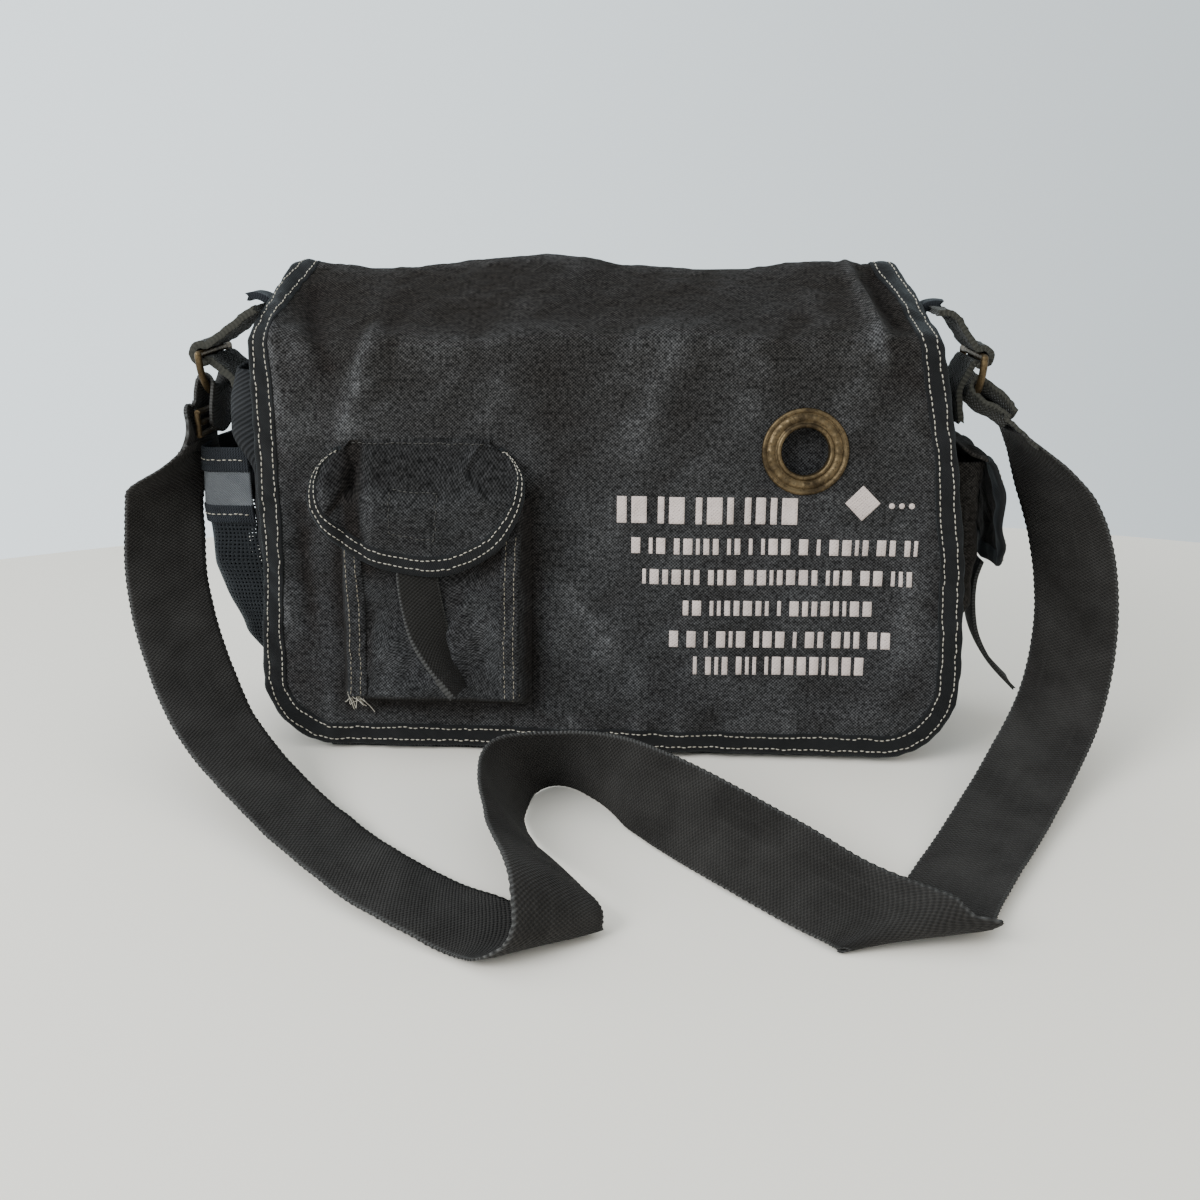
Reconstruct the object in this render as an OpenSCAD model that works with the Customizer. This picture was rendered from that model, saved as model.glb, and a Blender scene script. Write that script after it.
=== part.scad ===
// Messenger bag: a soft canvas case with a full front flap, two outside pockets and a webbing
// shoulder strap. Millimetres. X runs to the right, -Y is the front, +Z is up, and the origin
// is the centre of the base's flat face. The top of the case leans a little towards -X.

/* [Case] */
// Depth of the case at the base
base_depth = 116; // [100:1:130]
// Height of the front panel
front_h = 236; // [232:1:238]
// Height of the back panel
back_h = 280; // [278:1:282]
// Thickness of the sewn canvas panels
panel_t = 2.5; // [2:0.1:2.8]

/* [Flap] */
// Thickness of the flap
flap_t = 3; // [2.5:0.1:3.2]
// Radius of the flap's lower corners
flap_corner_r = 45; // [35:1:50]
// Width of the binding tape round the flap
binding_w = 13; // [10:0.5:14]
// Clear radius of the grommet's eye
eye_r = 14; // [12:0.5:14.5]

/* [Pockets] */
// Depth of the cargo pocket
cargo_depth = 18; // [16:0.5:18]
// Wall of the pocket cloth
pocket_t = 1.5; // [1.2:0.1:1.8]

/* [Strap] */
// Width of the shoulder strap
strap_w = 50; // [46:1:50]
// Thickness of the shoulder strap
strap_t = 1.8; // [1.4:0.1:2]
// Radius of the ring wire
wire_r = 2.2; // [2:0.1:2.4]

/* [Hidden] */
$fn = 48;

reach = 320;             // past every part, for cutting shapes
base_t = 3;
case_corner_r = 52;
front_lean_run = 36;    // how far the front panel leans back over its height
back_lean_run = 4;
side_left = [[-213, 52], [-216, 60], [-224, 150], [-224, 220], [-212, 262], [-204, 285]];
side_right = [[211, 52], [212, 60], [215, 150], [208, 220], [194, 262], [186, 285]];

// the flap's outer line in (y, z), from its lower hem over the front crease to the rear seam
hem = [-63, 10];
crease = [-28, 254];
ridge = [42, 296];
rear_seam = [56, 290];
flap_line = [hem, crease, ridge, rear_seam];
lean = atan((crease.x - hem.x) / (crease.y - hem.y));

// the mouth between the tops of the front and back panels
mouth_front = [-21, front_h + 1];
mouth_back = [52, back_h - 1];
mouth_mid = (mouth_front + mouth_back) / 2;
mouth_tilt = atan((mouth_back.y - mouth_front.y) / (mouth_back.x - mouth_front.x));
mouth_len = norm(mouth_back - mouth_front);
zip_gap = 31;
tape_t = 1.2;
mouth_x0 = -200;
mouth_x1 = 182;
tooth = 2.4;
tooth_pitch = 6;
zip_end_t = 3;

// open pocket sewn inside the back
inner_w = 230;
inner_h = 130;
inner_depth = 16;
inner_y = 42;
inner_z = 70;
inner_t = 1.2;

// cargo pocket, in the flap's own face: x across, v up from the hem, w outwards
cargo_x0 = -161;
cargo_x1 = -45;
cargo_mid = -111;
cargo_v0 = 28;
cargo_v1 = 150;
cargo_hinge_v = 185;
cargo_hinge_w = 3;
cargo_flap_t = 2;
cargo_flap_w = 21;
tab_w = 25;
tab_t = 1.4;
trim_w = 12;
trim_t = 1.6;
patch = 25;
patch_t = 0.8;
patch_v = 118;
tab_v = 24;
tab_l = 81;
tab_hem = 12;

eye_x = 120;
eye_v = 182;
eye_wall = 1.9;
flange_r = 26;
grommet_under = 4.5;

// side pockets, in (x, z)
net_line = [[-223, 46], [-238, 62], [-254, 110], [-258, 150], [-255, 186]];
pocket_y0 = -22;
pocket_y1 = 46;
net_levels = [46, 140, 148, 172, 185];
pouch_line = [[212, 64], [224, 66], [230, 90], [231, 181.5]];
pouch_flap_line = [[215, 192], [236, 183], [245, 150], [246, 113]];
pouch_inner_x = 200;
pouch_flap_r = 22;
pouch_flap_z = 113;
pouch_overlap = 4;       // how far the flap reaches past the pouch on each side

// ring anchors, in (x, z)
ring_y = 5;
ring_half = 27;
left_bar = [-249, 243];
right_bar = [224, 244];
bar_gap = 0.4;
anchor_w = 46;
anchor_t = 1.6;
slider_top = [-253, 211.5];
slider_drop = 14;
slider_wire_r = 1.8;
tail_w = 28;
fold_r = 3;        // inner radius of a webbing fold over the ring's curved side
fold_t = 1.2;
ring_rise = 4.4;   // how far the curved side rises within the width of a fold

// shoulder strap: a point on its middle line, then the direction towards its outer edge
strap_route = [
    [[-257, -12, 190], [0.05, -1, 0]],
    [[-265, -15, 176], [-0.3, -0.95, 0]],
    [[-278, -22, 158], [-0.65, -0.76, 0]],
    [[-279, -30, 132], [-0.75, -0.66, 0]],
    [[-273, -48, 102], [-0.75, -0.66, 0]],
    [[-254, -78, 68], [-0.72, -0.68, 0]],
    [[-220, -120, 36], [-0.66, -0.74, 0.1]],
    [[-164, -172, 14], [-0.58, -0.8, 0.12]],
    [[-104, -224, 6], [-0.5, -0.86, 0.08]],
    [[-55, -256, 4], [-0.4, -0.9, 0]],
    [[-20, -273, 5], [-0.85, -0.52, 0.04]],
    [[-10, -274, 14], [-0.8, -0.58, 0.25]],
    [[-12, -263, 25], [-0.8, -0.4, 0.45]],
    [[-22, -240, 27], [-0.75, -0.35, 0.6]],
    [[-36, -208, 24], [-0.62, -0.35, 0.72]],
    [[-47, -176, 24], [-0.5, -0.2, 0.85]],
    [[-50, -150, 24], [-0.4, -0.15, 0.9]],
    [[-42, -128, 23], [-0.2, -0.35, 0.92]],
    [[-22, -118, 23], [0, -0.42, 0.91]],
    [[4, -130, 23], [0.1, -0.15, 0.97]],
    [[28, -152, 22], [0.3, 0.25, 0.9]],
    [[54, -175, 20], [0.45, 0.45, 0.75]],
    [[94, -212, 16], [0.57, 0.58, 0.57]],
    [[126, -242, 13], [0.62, 0.65, 0.42]],
    [[148, -260, 13], [0.93, 0.25, 0.33]],
    [[158, -263, 8], [0.985, 0.08, 0.2]],
    [[168, -250, 5], [0.97, -0.12, 0.12]],
    [[186, -214, 4], [0.88, -0.45, 0.12]],
    [[216, -163, 7], [0.87, -0.5, 0.02]],
    [[250, -107, 17], [0.88, -0.46, -0.1]],
    [[280, -60, 40], [0.86, -0.48, -0.15]],
    [[294, -30, 76], [0.84, -0.54, -0.1]],
    [[295, -10, 115], [0.84, -0.54, 0]],
    [[286, 2, 150], [0.72, -0.69, 0]],
    [[270, 8, 178], [0.45, -0.9, 0]],
    [[250, 6, 199], [0.05, -1, 0]]
];
strap_steps = 2;
strap_bevel = 0.4;

canvas = [0.20, 0.21, 0.22];
twill = [0.23, 0.24, 0.25];
black_tape = [0.06, 0.06, 0.07];
webbing = [0.19, 0.18, 0.18];
old_brass = [0.42, 0.35, 0.22];
grey_band = [0.35, 0.35, 0.37];
lining_grey = [0.15, 0.15, 0.16];

// ---- plane helpers ----

function unit(v) = v / norm(v);

// point i of the line p, moved d to the left of the line's direction
function beside(p, i, d) =
    let (n = len(p))
    let (a = i == 0 ? unit(p[1] - p[0]) : unit(p[i] - p[i - 1]))
    let (b = i == n - 1 ? a : unit(p[i + 1] - p[i]))
    let (m = unit([-a.y - b.y, a.x + b.x]))
    p[i] + m * d / (m * [-a.y, a.x]);

function arc(c, r, a0, a1, n) = [
    for (i = [0:n]) c + r * [cos(a0 + (a1 - a0) * i / n), sin(a0 + (a1 - a0) * i / n)]
];

function reversed(p) = [for (i = [len(p) - 1:-1:0]) p[i]];

// the band between two offsets of a line
module strip(p, d0, d1) {
    ids = [0:len(p) - 1];
    polygon(concat([for (i = ids) beside(p, i, d0)], reversed([for (i = ids) beside(p, i, d1)])));
}

// a drawing in (y, z), pulled along X
module along_x(x0, x1) {
    translate([x0, 0, 0]) rotate([90, 0, 90]) linear_extrude(x1 - x0) children();
}

// a drawing in (x, z), pulled along Y
module along_y(y0, y1) {
    translate([0, y1, 0]) rotate([90, 0, 0]) linear_extrude(y1 - y0) children();
}

// children drawn as (x, v, w) on the front face of the flap
module on_face() {
    translate([0, hem.x, hem.y]) rotate([90 - lean, 0, 0]) children();
}

// children drawn as (x, up the slope, above the slope) on the mouth
module on_mouth() {
    translate([0, mouth_mid.x, mouth_mid.y]) rotate([mouth_tilt, 0, 0]) children();
}

// ---- the case ----

function front_y(z, d) = -base_depth / 2 + z * front_lean_run / front_h + d * 1.0116;
function back_y(z, d) = base_depth / 2 - z * back_lean_run / back_h - d;

// side profile of the case, d inside its outer faces, from height z0 to drop below the mouth
module case_profile(d, z0, drop) {
    zf = front_h - drop;
    zb = back_h - drop;
    polygon([[front_y(z0, d), z0], [back_y(z0, d), z0], [back_y(zb, d), zb], [front_y(zf, d), zf]]);
}

// the middle of a rounded lower corner; way is -1 on the left and 1 on the right
function corner(side, way) = [side[0].x - way * case_corner_r, case_corner_r];

// a side's edge from the flat base up, d inside the cloth's outer face
function side_edge(side, way, d) = concat(
    [for (a = [0:15:75]) corner(side, way) + (case_corner_r - d) * [way * sin(a), -cos(a)]],
    [for (p = side) [p.x - way * d, p.y]]
);

// front view of the case, d inside its sides
module case_outline(d) {
    polygon(concat(side_edge(side_left, -1, d), reversed(side_edge(side_right, 1, d))));
}

module front_panel() {
    color(canvas) intersection() {
        along_x(-reach, reach) polygon([
            [front_y(0, 0), 0], [front_y(0, panel_t), 0],
            [front_y(front_h, panel_t), front_h], [front_y(front_h, 0), front_h]
        ]);
        along_y(-reach, reach) case_outline(0);
    }
}

module back_panel() {
    color(canvas) intersection() {
        along_x(-reach, reach) polygon([
            [back_y(0, panel_t), 0], [back_y(0, 0), 0],
            [back_y(back_h, 0), back_h], [back_y(back_h, panel_t), back_h]
        ]);
        along_y(-reach, reach) case_outline(0);
    }
}

module base_panel() {
    color(canvas) intersection() {
        along_x(corner(side_left, -1).x, corner(side_right, 1).x) polygon([
            [front_y(0, panel_t), 0], [back_y(0, panel_t), 0],
            [back_y(base_t, panel_t), base_t], [front_y(base_t, panel_t), base_t]
        ]);
        along_y(-reach, reach) case_outline(0);
    }
}

module gusset(side, way) {
    color(twill) intersection() {
        along_y(-reach, reach)
            polygon(concat(side_edge(side, way, 0), reversed(side_edge(side, way, panel_t))));
        along_x(-reach, reach) case_profile(panel_t, 0, 4);
    }
}

module left_gusset() { gusset(side_left, -1); }

module right_gusset() { gusset(side_right, 1); }

module tub(d, z0, drop) {
    intersection() {
        along_x(-reach, reach) case_profile(d, z0, drop);
        along_y(-reach, reach) case_outline(d * 1.15);
    }
}

module lining() {
    color(lining_grey) difference() {
        tub(3, base_t + 0.5, 6);
        tub(4, base_t + 1.5, -20);
    }
}

module inner_pocket() {
    color(lining_grey) intersection() {
        difference() {
            translate([-inner_w / 2, inner_y, inner_z]) cube([inner_w, inner_depth, inner_h]);
            translate([inner_t - inner_w / 2, inner_y + inner_t, inner_z + inner_t])
                cube([inner_w - 2 * inner_t, inner_depth, inner_h + 10]);
        }
        along_x(-reach, reach) case_profile(4.1, 60, 6);
    }
}

// ---- the mouth's zip ----

module zip_tape(sign) {
    color(black_tape) on_mouth() translate([mouth_x0, 0, -tape_t / 2]) {
        w = (mouth_len - zip_gap) / 2 - 1;
        translate([0, sign > 0 ? zip_gap / 2 : -zip_gap / 2 - w, 0])
            cube([mouth_x1 - mouth_x0, w, tape_t]);
    }
}

module zip_tape_front() { zip_tape(-1); }

module zip_tape_back() { zip_tape(1); }

module zip_teeth(sign) {
    color(old_brass) on_mouth() for (x = [mouth_x0 + 20:tooth_pitch:mouth_x1 - 36])
        translate([x, sign * (zip_gap / 2 - tooth / 2) - tooth / 2, -tooth / 2])
            cube([tooth, tooth, tooth]);
}

module zip_teeth_front() { zip_teeth(-1); }

module zip_teeth_back() { zip_teeth(1); }

slider_x = mouth_x1 - 20;

module zip_slider() {
    color(old_brass) on_mouth() translate([slider_x, 0, 0]) {
        translate([-6, -5, 1.5]) cube([12, 10, 1.5]);
        translate([-5, -1.6, 3]) difference() {
            cube([10, 3.2, 4.5]);
            translate([2, -1, -1]) cube([6, 6, 4.2]);
        }
    }
}

module zip_puller() {
    color(old_brass) on_mouth() translate([slider_x - 3.5, 0, 4.6]) difference() {
        translate([-22, -4, 0]) cube([27, 8, 1.2]);
        translate([-3, -2.4, -1]) cube([6.5, 4.8, 4]);
        translate([-17, 0, -1]) cylinder(r = 2, h = 4);
    }
}

// a tape end: a patch across the mouth, then a tongue that rises past the edge of the flap
module zip_end(x0, x1, tongue, side) {
    color(black_tape) {
        on_mouth() translate([x0, -zip_gap / 2, -zip_end_t / 2]) cube([x1 - x0, zip_gap, zip_end_t]);
        along_y(8, 27) strip(tongue, 0, side * zip_end_t);
    }
}

module zip_end_left() {
    zip_end(-204, mouth_x0 + 16, [[-196, 262], [-207, 262], [-214, 272], [-232, 273]], -1);
}

module zip_end_right() {
    zip_end(mouth_x1 - 30, 186, [[180, 262], [188, 262], [192, 272.5], [204, 273]], -1);
}

// ---- the flap ----

// front view of the flap, d inside its edge
module flap_outline(d) {
    r = flap_corner_r - d;
    left = -213;
    right = 217;
    polygon(concat(
        arc([left + flap_corner_r, hem.y + flap_corner_r], r, 180, 270, 12),
        arc([right - flap_corner_r, hem.y + flap_corner_r], r, 270, 360, 12),
        [[right - d, 100], [200 - d, 252], [180 - d, 294], [179 - d, 320]],
        [[-199 + d, 320], [-199 + d, 294], [-214 + d, 252], [left + d, 100]]
    ));
}

module flap() {
    color(canvas) difference() {
        intersection() {
            along_x(-reach, reach) strip(flap_line, 0, -flap_t);
            along_y(-reach, reach) flap_outline(1.5);
        }
        on_face() translate([eye_x, eye_v, -10]) cylinder(r = eye_r + eye_wall + 0.1, h = 20);
    }
}

module flap_binding() {
    color(black_tape) intersection() {
        along_x(-reach, reach) strip(flap_line, 1.2, 0);
        along_y(-reach, reach) difference() {
            flap_outline(0);
            difference() {
                flap_outline(binding_w);
                translate([-300, 320]) square([600, 1]);
            }
        }
    }
}

module grommet() {
    color(old_brass) on_face() translate([eye_x, eye_v, 0]) rotate_extrude() polygon([
        [eye_r, -grommet_under], [eye_r + eye_wall, -grommet_under], [eye_r + eye_wall, 0],
        [flange_r, 0], [flange_r, 1.6], [flange_r - 1, 2.4], [flange_r - 3, 2.2],
        [flange_r - 5, 1.6], [eye_r + 4.5, 2], [eye_r + 2.5, 3.4], [eye_r + 1, 3.2], [eye_r, 2]
    ]);
}

module grommet_washer() {
    color(old_brass) on_face() translate([eye_x, eye_v, -flap_t - 1.2])
        difference() {
            cylinder(r = flange_r - 2, h = 1.2);
            translate([0, 0, -1]) cylinder(r = eye_r + eye_wall + 0.05, h = 4);
        }
}

// ---- cargo pocket on the flap ----

module cargo_pocket() {
    color(canvas) on_face() difference() {
        translate([cargo_x0, cargo_v0, 0]) cube([cargo_x1 - cargo_x0, cargo_v1 - cargo_v0, cargo_depth]);
        translate([cargo_x0 + pocket_t, cargo_v0 + pocket_t, -1])
            cube([cargo_x1 - cargo_x0 - 2 * pocket_t, cargo_v1, cargo_depth + 1 - pocket_t]);
    }
}

module cargo_pocket_trim() {
    color(canvas) on_face() for (x = [cargo_x0, cargo_x1 - trim_w])
        translate([x, cargo_v0, cargo_depth]) cube([trim_w, cargo_v1 - cargo_v0, trim_t]);
}

// front view of the cargo flap in (x, v), d inside its edge
module cargo_flap_outline(d) {
    rx = 61 - d;
    ry = 40 - d;
    polygon(concat(
        [for (a = [180:10:360]) [cargo_mid + rx * cos(a), 147 + ry * sin(a)]],
        [[cargo_mid + rx, 168], [cargo_mid + 44 - d, 190], [cargo_mid - 44 + d, 190]],
        [[cargo_mid - rx, 168]]
    ));
}

cargo_flap_line = [
    [cargo_hinge_v - 0.5, cargo_hinge_w], [178, 16], [166, cargo_flap_w], [104, cargo_flap_w]
];

// a band on the cargo flap's line, kept inside a front-view drawing
module cargo_band(d0, d1) {
    on_face() intersection() {
        rotate([90, 0, 90]) translate([0, 0, -190]) linear_extrude(160) strip(cargo_flap_line, d0, d1);
        translate([0, 0, -1]) linear_extrude(40) children();
    }
}

module cargo_flap() {
    color(canvas) cargo_band(0, -cargo_flap_t) cargo_flap_outline(1);
}

module cargo_flap_binding() {
    color(black_tape) cargo_band(-cargo_flap_t, -cargo_flap_t - 1) difference() {
        cargo_flap_outline(0);
        cargo_flap_outline(9);
        translate([-200, 160]) square([200, 60]);
    }
}

module cargo_hook_patch() {
    color(black_tape) on_face() translate([cargo_mid - patch / 2, patch_v, cargo_flap_w - patch_t])
        cube([patch, patch, patch_t]);
}

module cargo_loop_patch() {
    color(black_tape) on_face() translate([cargo_mid - patch / 2, patch_v, cargo_depth])
        cube([patch, patch, patch_t]);
}

module cargo_tab() {
    color(webbing) on_face() translate([cargo_mid - tab_w / 2, tab_v, cargo_depth + 1]) {
        cube([tab_w, tab_l, tab_t]);
        translate([0, 0, tab_t]) cube([tab_w, tab_hem, tab_t]);
    }
}

// ---- mesh pocket on the left side ----

// one level of the mesh pocket: an outer sheet and its two ends
module net_level(i) {
    z0 = net_levels[i];
    z1 = net_levels[i + 1];
    intersection() {
        difference() {
            along_y(pocket_y0, pocket_y1)
                polygon(concat(net_line, [[-225, 190], [-224.5, 150], [-219, 60]]));
            along_y(pocket_y0 + pocket_t, pocket_y1 - pocket_t)
                polygon([
                    [-222, 50], [-237, 64], [-252.4, 110], [-256.4, 150], [-253, 195],
                    [-200, 195], [-200, 50]
                ]);
        }
        translate([-300, -100, z0]) cube([100, 200, z1 - z0]);
        along_y(-reach, reach)
            polygon([[-300, 40], [-213.1, 40], [-216.1, 60], [-224.1, 150], [-224.1, 220], [-300, 220]]);
    }
}

module mesh_pocket_net() { color(black_tape) net_level(0); }

module mesh_pocket_lower_tape() { color(black_tape) net_level(1); }

module mesh_pocket_band() { color(grey_band) net_level(2); }

module mesh_pocket_top_tape() { color(black_tape) net_level(3); }

// ---- pouch on the right side ----

module side_pouch() {
    color(canvas) difference() {
        along_y(pocket_y0, pocket_y1)
            polygon(concat(pouch_line, [[213.2, 181.5], [215.1, 150], [212.8, 75]]));
        along_y(pocket_y0 + pocket_t, pocket_y1 - pocket_t)
            polygon([[212, 68], [223, 68], [228.5, 90], [229.5, 200], [200, 200], [200, 68]]);
        along_y(-reach, reach) case_outline(0);
    }
}

// side view of the pouch flap in (y, z), d inside its edge
module pouch_flap_view(d) {
    r = pouch_flap_r - d;
    y0 = pocket_y0 - pouch_overlap;
    y1 = pocket_y1 + pouch_overlap;
    z = pouch_flap_z + pouch_flap_r;
    polygon(concat(
        arc([y0 + pouch_flap_r, z], r, 180, 270, 8), arc([y1 - pouch_flap_r, z], r, 270, 360, 8),
        [[y1 - d, 200], [y0 + d, 200]]
    ));
}

module pouch_flap() {
    color(canvas) intersection() {
        along_y(-reach, reach) strip(pouch_flap_line, 0, -2);
        along_x(pouch_inner_x, reach) pouch_flap_view(1);
    }
}

module pouch_flap_binding() {
    color(black_tape) intersection() {
        along_y(-reach, reach) strip(pouch_flap_line, 1, 0);
        along_x(pouch_inner_x, reach) difference() {
            pouch_flap_view(0);
            pouch_flap_view(9);
            translate([-50, 175]) square([120, 60]);
        }
    }
}

pouch_tab_line = [[240, 109], [238, 90], [242, 65], [256, 40], [272, 22]];

module pouch_tab() {
    color(webbing) along_y(ring_y, ring_y + tab_w) strip(pouch_tab_line, 0, tab_t);
}

// ---- strap hardware ----

// a webbing strip that runs down the side, out to a ring bar, round it and back
module anchor_left() {
    r = wire_r + bar_gap;
    path = concat(
        [[-214.5, 268], [-224, 264]],
        arc(left_bar, r, 55, 325, 10),
        [[-230, 232], [-226.5, 222], [-226.5, 192]]
    );
    color(webbing) along_y(ring_y - anchor_w / 2, ring_y + anchor_w / 2)
        intersection() {
            strip(path, 0, -anchor_t);
            polygon([[-300, 180], [-300, 300], [-206, 300], [-212.2, 262], [-224.2, 220], [-224.2, 180]]);
        }
}

module anchor_right() {
    r = wire_r + bar_gap;
    path = concat(
        [[196.5, 267], [207, 266]], arc(right_bar, r, 125, -145, 10), [[214, 232], [211, 224], [213.8, 202]]
    );
    color(webbing) along_y(ring_y - anchor_w / 2, ring_y + anchor_w / 2)
        intersection() {
            strip(path, 0, anchor_t);
            polygon([[300, 180], [300, 300], [188, 300], [194.2, 262], [208.2, 220], [213, 180]]);
        }
}

// a D-shaped ring hanging from a straight bar along Y
module d_ring(bar) {
    color(old_brass) translate([bar.x, ring_y, bar.y]) {
        rotate([90, 0, 0]) translate([0, 0, -ring_half]) cylinder(r = wire_r, h = 2 * ring_half);
        for (s = [-1, 1]) translate([0, s * ring_half, 0]) sphere(r = wire_r);
        rotate([0, 90, 0]) rotate([0, 0, -90]) rotate_extrude(angle = 180)
            translate([ring_half, 0]) circle(r = wire_r);
    }
}

module d_ring_left() { d_ring(left_bar); }

module d_ring_right() { d_ring(right_bar); }

// a rectangular three-bar slider below the left ring
module strap_slider() {
    color(old_brass) translate([slider_top.x, ring_y, slider_top.y - 4]) {
        for (z = [0, -slider_drop / 2, -slider_drop])
            translate([0, ring_half + 1, z]) rotate([90, 0, 0])
                cylinder(r = slider_wire_r, h = 2 * ring_half + 2);
        for (s = [-1, 1]) translate([0, s * (ring_half + 1), -slider_drop])
            cylinder(r = slider_wire_r, h = slider_drop);
    }
}

// the strap's folded end: once round the ring's curved side and down through the slider
module strap_tail_left() {
    low = left_bar - [0, ring_half];
    outer = concat(
        [[slider_top.x - 3.4, slider_top.y - 12], [slider_top.x - 3.4, slider_top.y - 2]],
        arc(low + [0, ring_rise], fold_r, 200, -20, 10), [low + [fold_r - 0.2, -3]],
        [[slider_top.x + 3.4, slider_top.y - 4], [slider_top.x + 3.4, slider_top.y - 14]]
    );
    color(webbing) along_y(ring_y - tail_w / 2, ring_y + tail_w / 2) strip(outer, 0, fold_t);
}

module strap_connector_right() {
    low = right_bar - [0, ring_half];
    loop = concat(
        [[246, 206], [232, 214]], arc(low + [0, ring_rise], fold_r, 60, 180, 5),
        arc(low, fold_r, 190, 330, 6), [[242, 203]]
    );
    color(webbing) along_y(ring_y - tail_w / 2, ring_y + tail_w / 2) strip(loop, 0, -fold_t);
}

// ---- shoulder strap ----

function cubic(a, b, c, d, t) =
    0.5 * (2 * b + (c - a) * t + (2 * a - 5 * b + 4 * c - d) * t * t + (3 * b - a - 3 * c + d) * t * t * t);

function knot(i, k) = strap_route[min(max(i, 0), len(strap_route) - 1)][k];

function on_route(s, k) =
    let (i = min(floor(s), len(strap_route) - 2))
    cubic(knot(i - 1, k), knot(i, k), knot(i + 1, k), knot(i + 2, k), s - i);

function strap_ring(s) =
    let (last = len(strap_route) - 1)
    let (c = on_route(s, 0))
    let (t = unit(on_route(min(s + 0.1, last), 0) - on_route(max(s - 0.1, 0), 0)))
    let (skew = cross(t, unit(on_route(s, 1))))
    let (w = unit(on_route(s, 1)) / norm(skew))
    let (n = unit(skew))
    let (a = strap_w / 2)
    let (b = strap_t / 2)
    let (e = strap_bevel)
    let (section = [
        [a, b - e], [a - e, b], [e - a, b], [-a, b - e], [-a, e - b], [e - a, -b], [a - e, -b], [a, e - b]
    ])
    [for (q = section) let (p = c + w * q.x + n * q.y) [p.x, p.y, max(p.z, 0.2 + (q.y + b) / 2)]];

module shoulder_strap() {
    count = (len(strap_route) - 1) * strap_steps + 1;
    rings = [for (i = [0:count - 1]) strap_ring(i / strap_steps)];
    sides = len(rings[0]);
    points = [for (ring = rings) for (p = ring) p];
    walls = [
        for (i = [0:count - 2]) for (j = [0:sides - 1])
            let (k = (j + 1) % sides)
            let (p = i * sides + j)
            let (q = i * sides + k)
            let (over = j < sides / 2)
            for (f = [[p, q, over ? p + sides : q + sides], [over ? q : p, q + sides, p + sides]]) f
    ];
    start = [[for (j = [sides - 1:-1:0]) j]];
    end = [[for (j = [0:sides - 1]) (count - 1) * sides + j]];
    color(webbing) polyhedron(points, concat(walls, start, end));
}

front_panel();
back_panel();
base_panel();
left_gusset();
right_gusset();
lining();
inner_pocket();
zip_tape_front();
zip_tape_back();
zip_teeth_front();
zip_teeth_back();
zip_slider();
zip_puller();
zip_end_left();
zip_end_right();
flap();
flap_binding();
grommet();
grommet_washer();
cargo_pocket();
cargo_pocket_trim();
cargo_flap();
cargo_flap_binding();
cargo_hook_patch();
cargo_loop_patch();
cargo_tab();
mesh_pocket_net();
mesh_pocket_lower_tape();
mesh_pocket_band();
mesh_pocket_top_tape();
side_pouch();
pouch_flap();
pouch_flap_binding();
pouch_tab();
anchor_left();
anchor_right();
d_ring_left();
d_ring_right();
strap_slider();
strap_tail_left();
strap_connector_right();
shoulder_strap();
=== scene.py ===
"""Canvas messenger bag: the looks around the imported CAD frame. Metres, +X right, -Y front, +Z up."""

import math

import bpy
import numpy as np
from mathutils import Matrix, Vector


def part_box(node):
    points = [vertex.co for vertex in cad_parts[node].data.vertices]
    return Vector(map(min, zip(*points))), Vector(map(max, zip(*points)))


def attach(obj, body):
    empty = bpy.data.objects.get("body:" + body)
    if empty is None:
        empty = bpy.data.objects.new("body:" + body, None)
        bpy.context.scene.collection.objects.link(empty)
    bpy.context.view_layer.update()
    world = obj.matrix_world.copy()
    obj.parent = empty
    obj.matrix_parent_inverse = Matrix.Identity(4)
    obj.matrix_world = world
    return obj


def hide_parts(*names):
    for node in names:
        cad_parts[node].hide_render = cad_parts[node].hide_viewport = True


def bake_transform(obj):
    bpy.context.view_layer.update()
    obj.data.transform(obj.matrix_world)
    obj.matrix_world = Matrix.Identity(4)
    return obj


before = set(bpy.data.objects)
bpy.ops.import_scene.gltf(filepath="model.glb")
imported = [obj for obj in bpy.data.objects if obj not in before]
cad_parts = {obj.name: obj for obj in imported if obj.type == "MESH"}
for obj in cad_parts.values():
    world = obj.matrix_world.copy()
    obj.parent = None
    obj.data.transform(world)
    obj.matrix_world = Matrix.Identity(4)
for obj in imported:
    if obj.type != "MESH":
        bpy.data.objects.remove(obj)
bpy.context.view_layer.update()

MM = 0.001
TAU = 2 * math.pi


# ---- camera ----


CAMERA_AT = (0.0347, -0.7497, 0.3334)
CAMERA_DOWN = math.radians(18.5)
CAMERA_TURN = math.radians(3)


def add_camera():
    data = bpy.data.cameras.new("camera")
    data.lens = 36
    data.sensor_width = 36
    cam = bpy.data.objects.new("camera", data)
    cam.location = CAMERA_AT
    cam.rotation_euler = (math.pi / 2 - CAMERA_DOWN, 0, CAMERA_TURN)
    bpy.context.scene.collection.objects.link(cam)
    bpy.context.scene.camera = cam


add_camera()


# ---- number helpers ----


def smooth(lo, hi, x):
    t = np.clip((x - lo) / (hi - lo), 0, 1)
    return t * t * (3 - 2 * t)


def bell(x, middle, width):
    return np.exp(-(((x - middle) / width) ** 2))


def unit(v):
    return v / np.maximum(np.linalg.norm(v, axis=-1, keepdims=True), 1e-12)


def wander(p, q, scale, seed, octaves=3, gain=0.5):
    """A smooth field of two coordinates, about -1 to 1, the same every run."""
    rng = np.random.default_rng(seed)
    total, size = 0.0, 1.0
    for octave in range(octaves):
        for _ in range(7):
            turn, f, phase = rng.uniform(0, TAU), rng.uniform(0.7, 1.4), rng.uniform(0, TAU)
            k = TAU / scale * f * 2**octave
            total = total + size * np.cos(k * (p * math.cos(turn) + q * math.sin(turn)) + phase) / 2.6
        size *= gain
    return total


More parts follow.
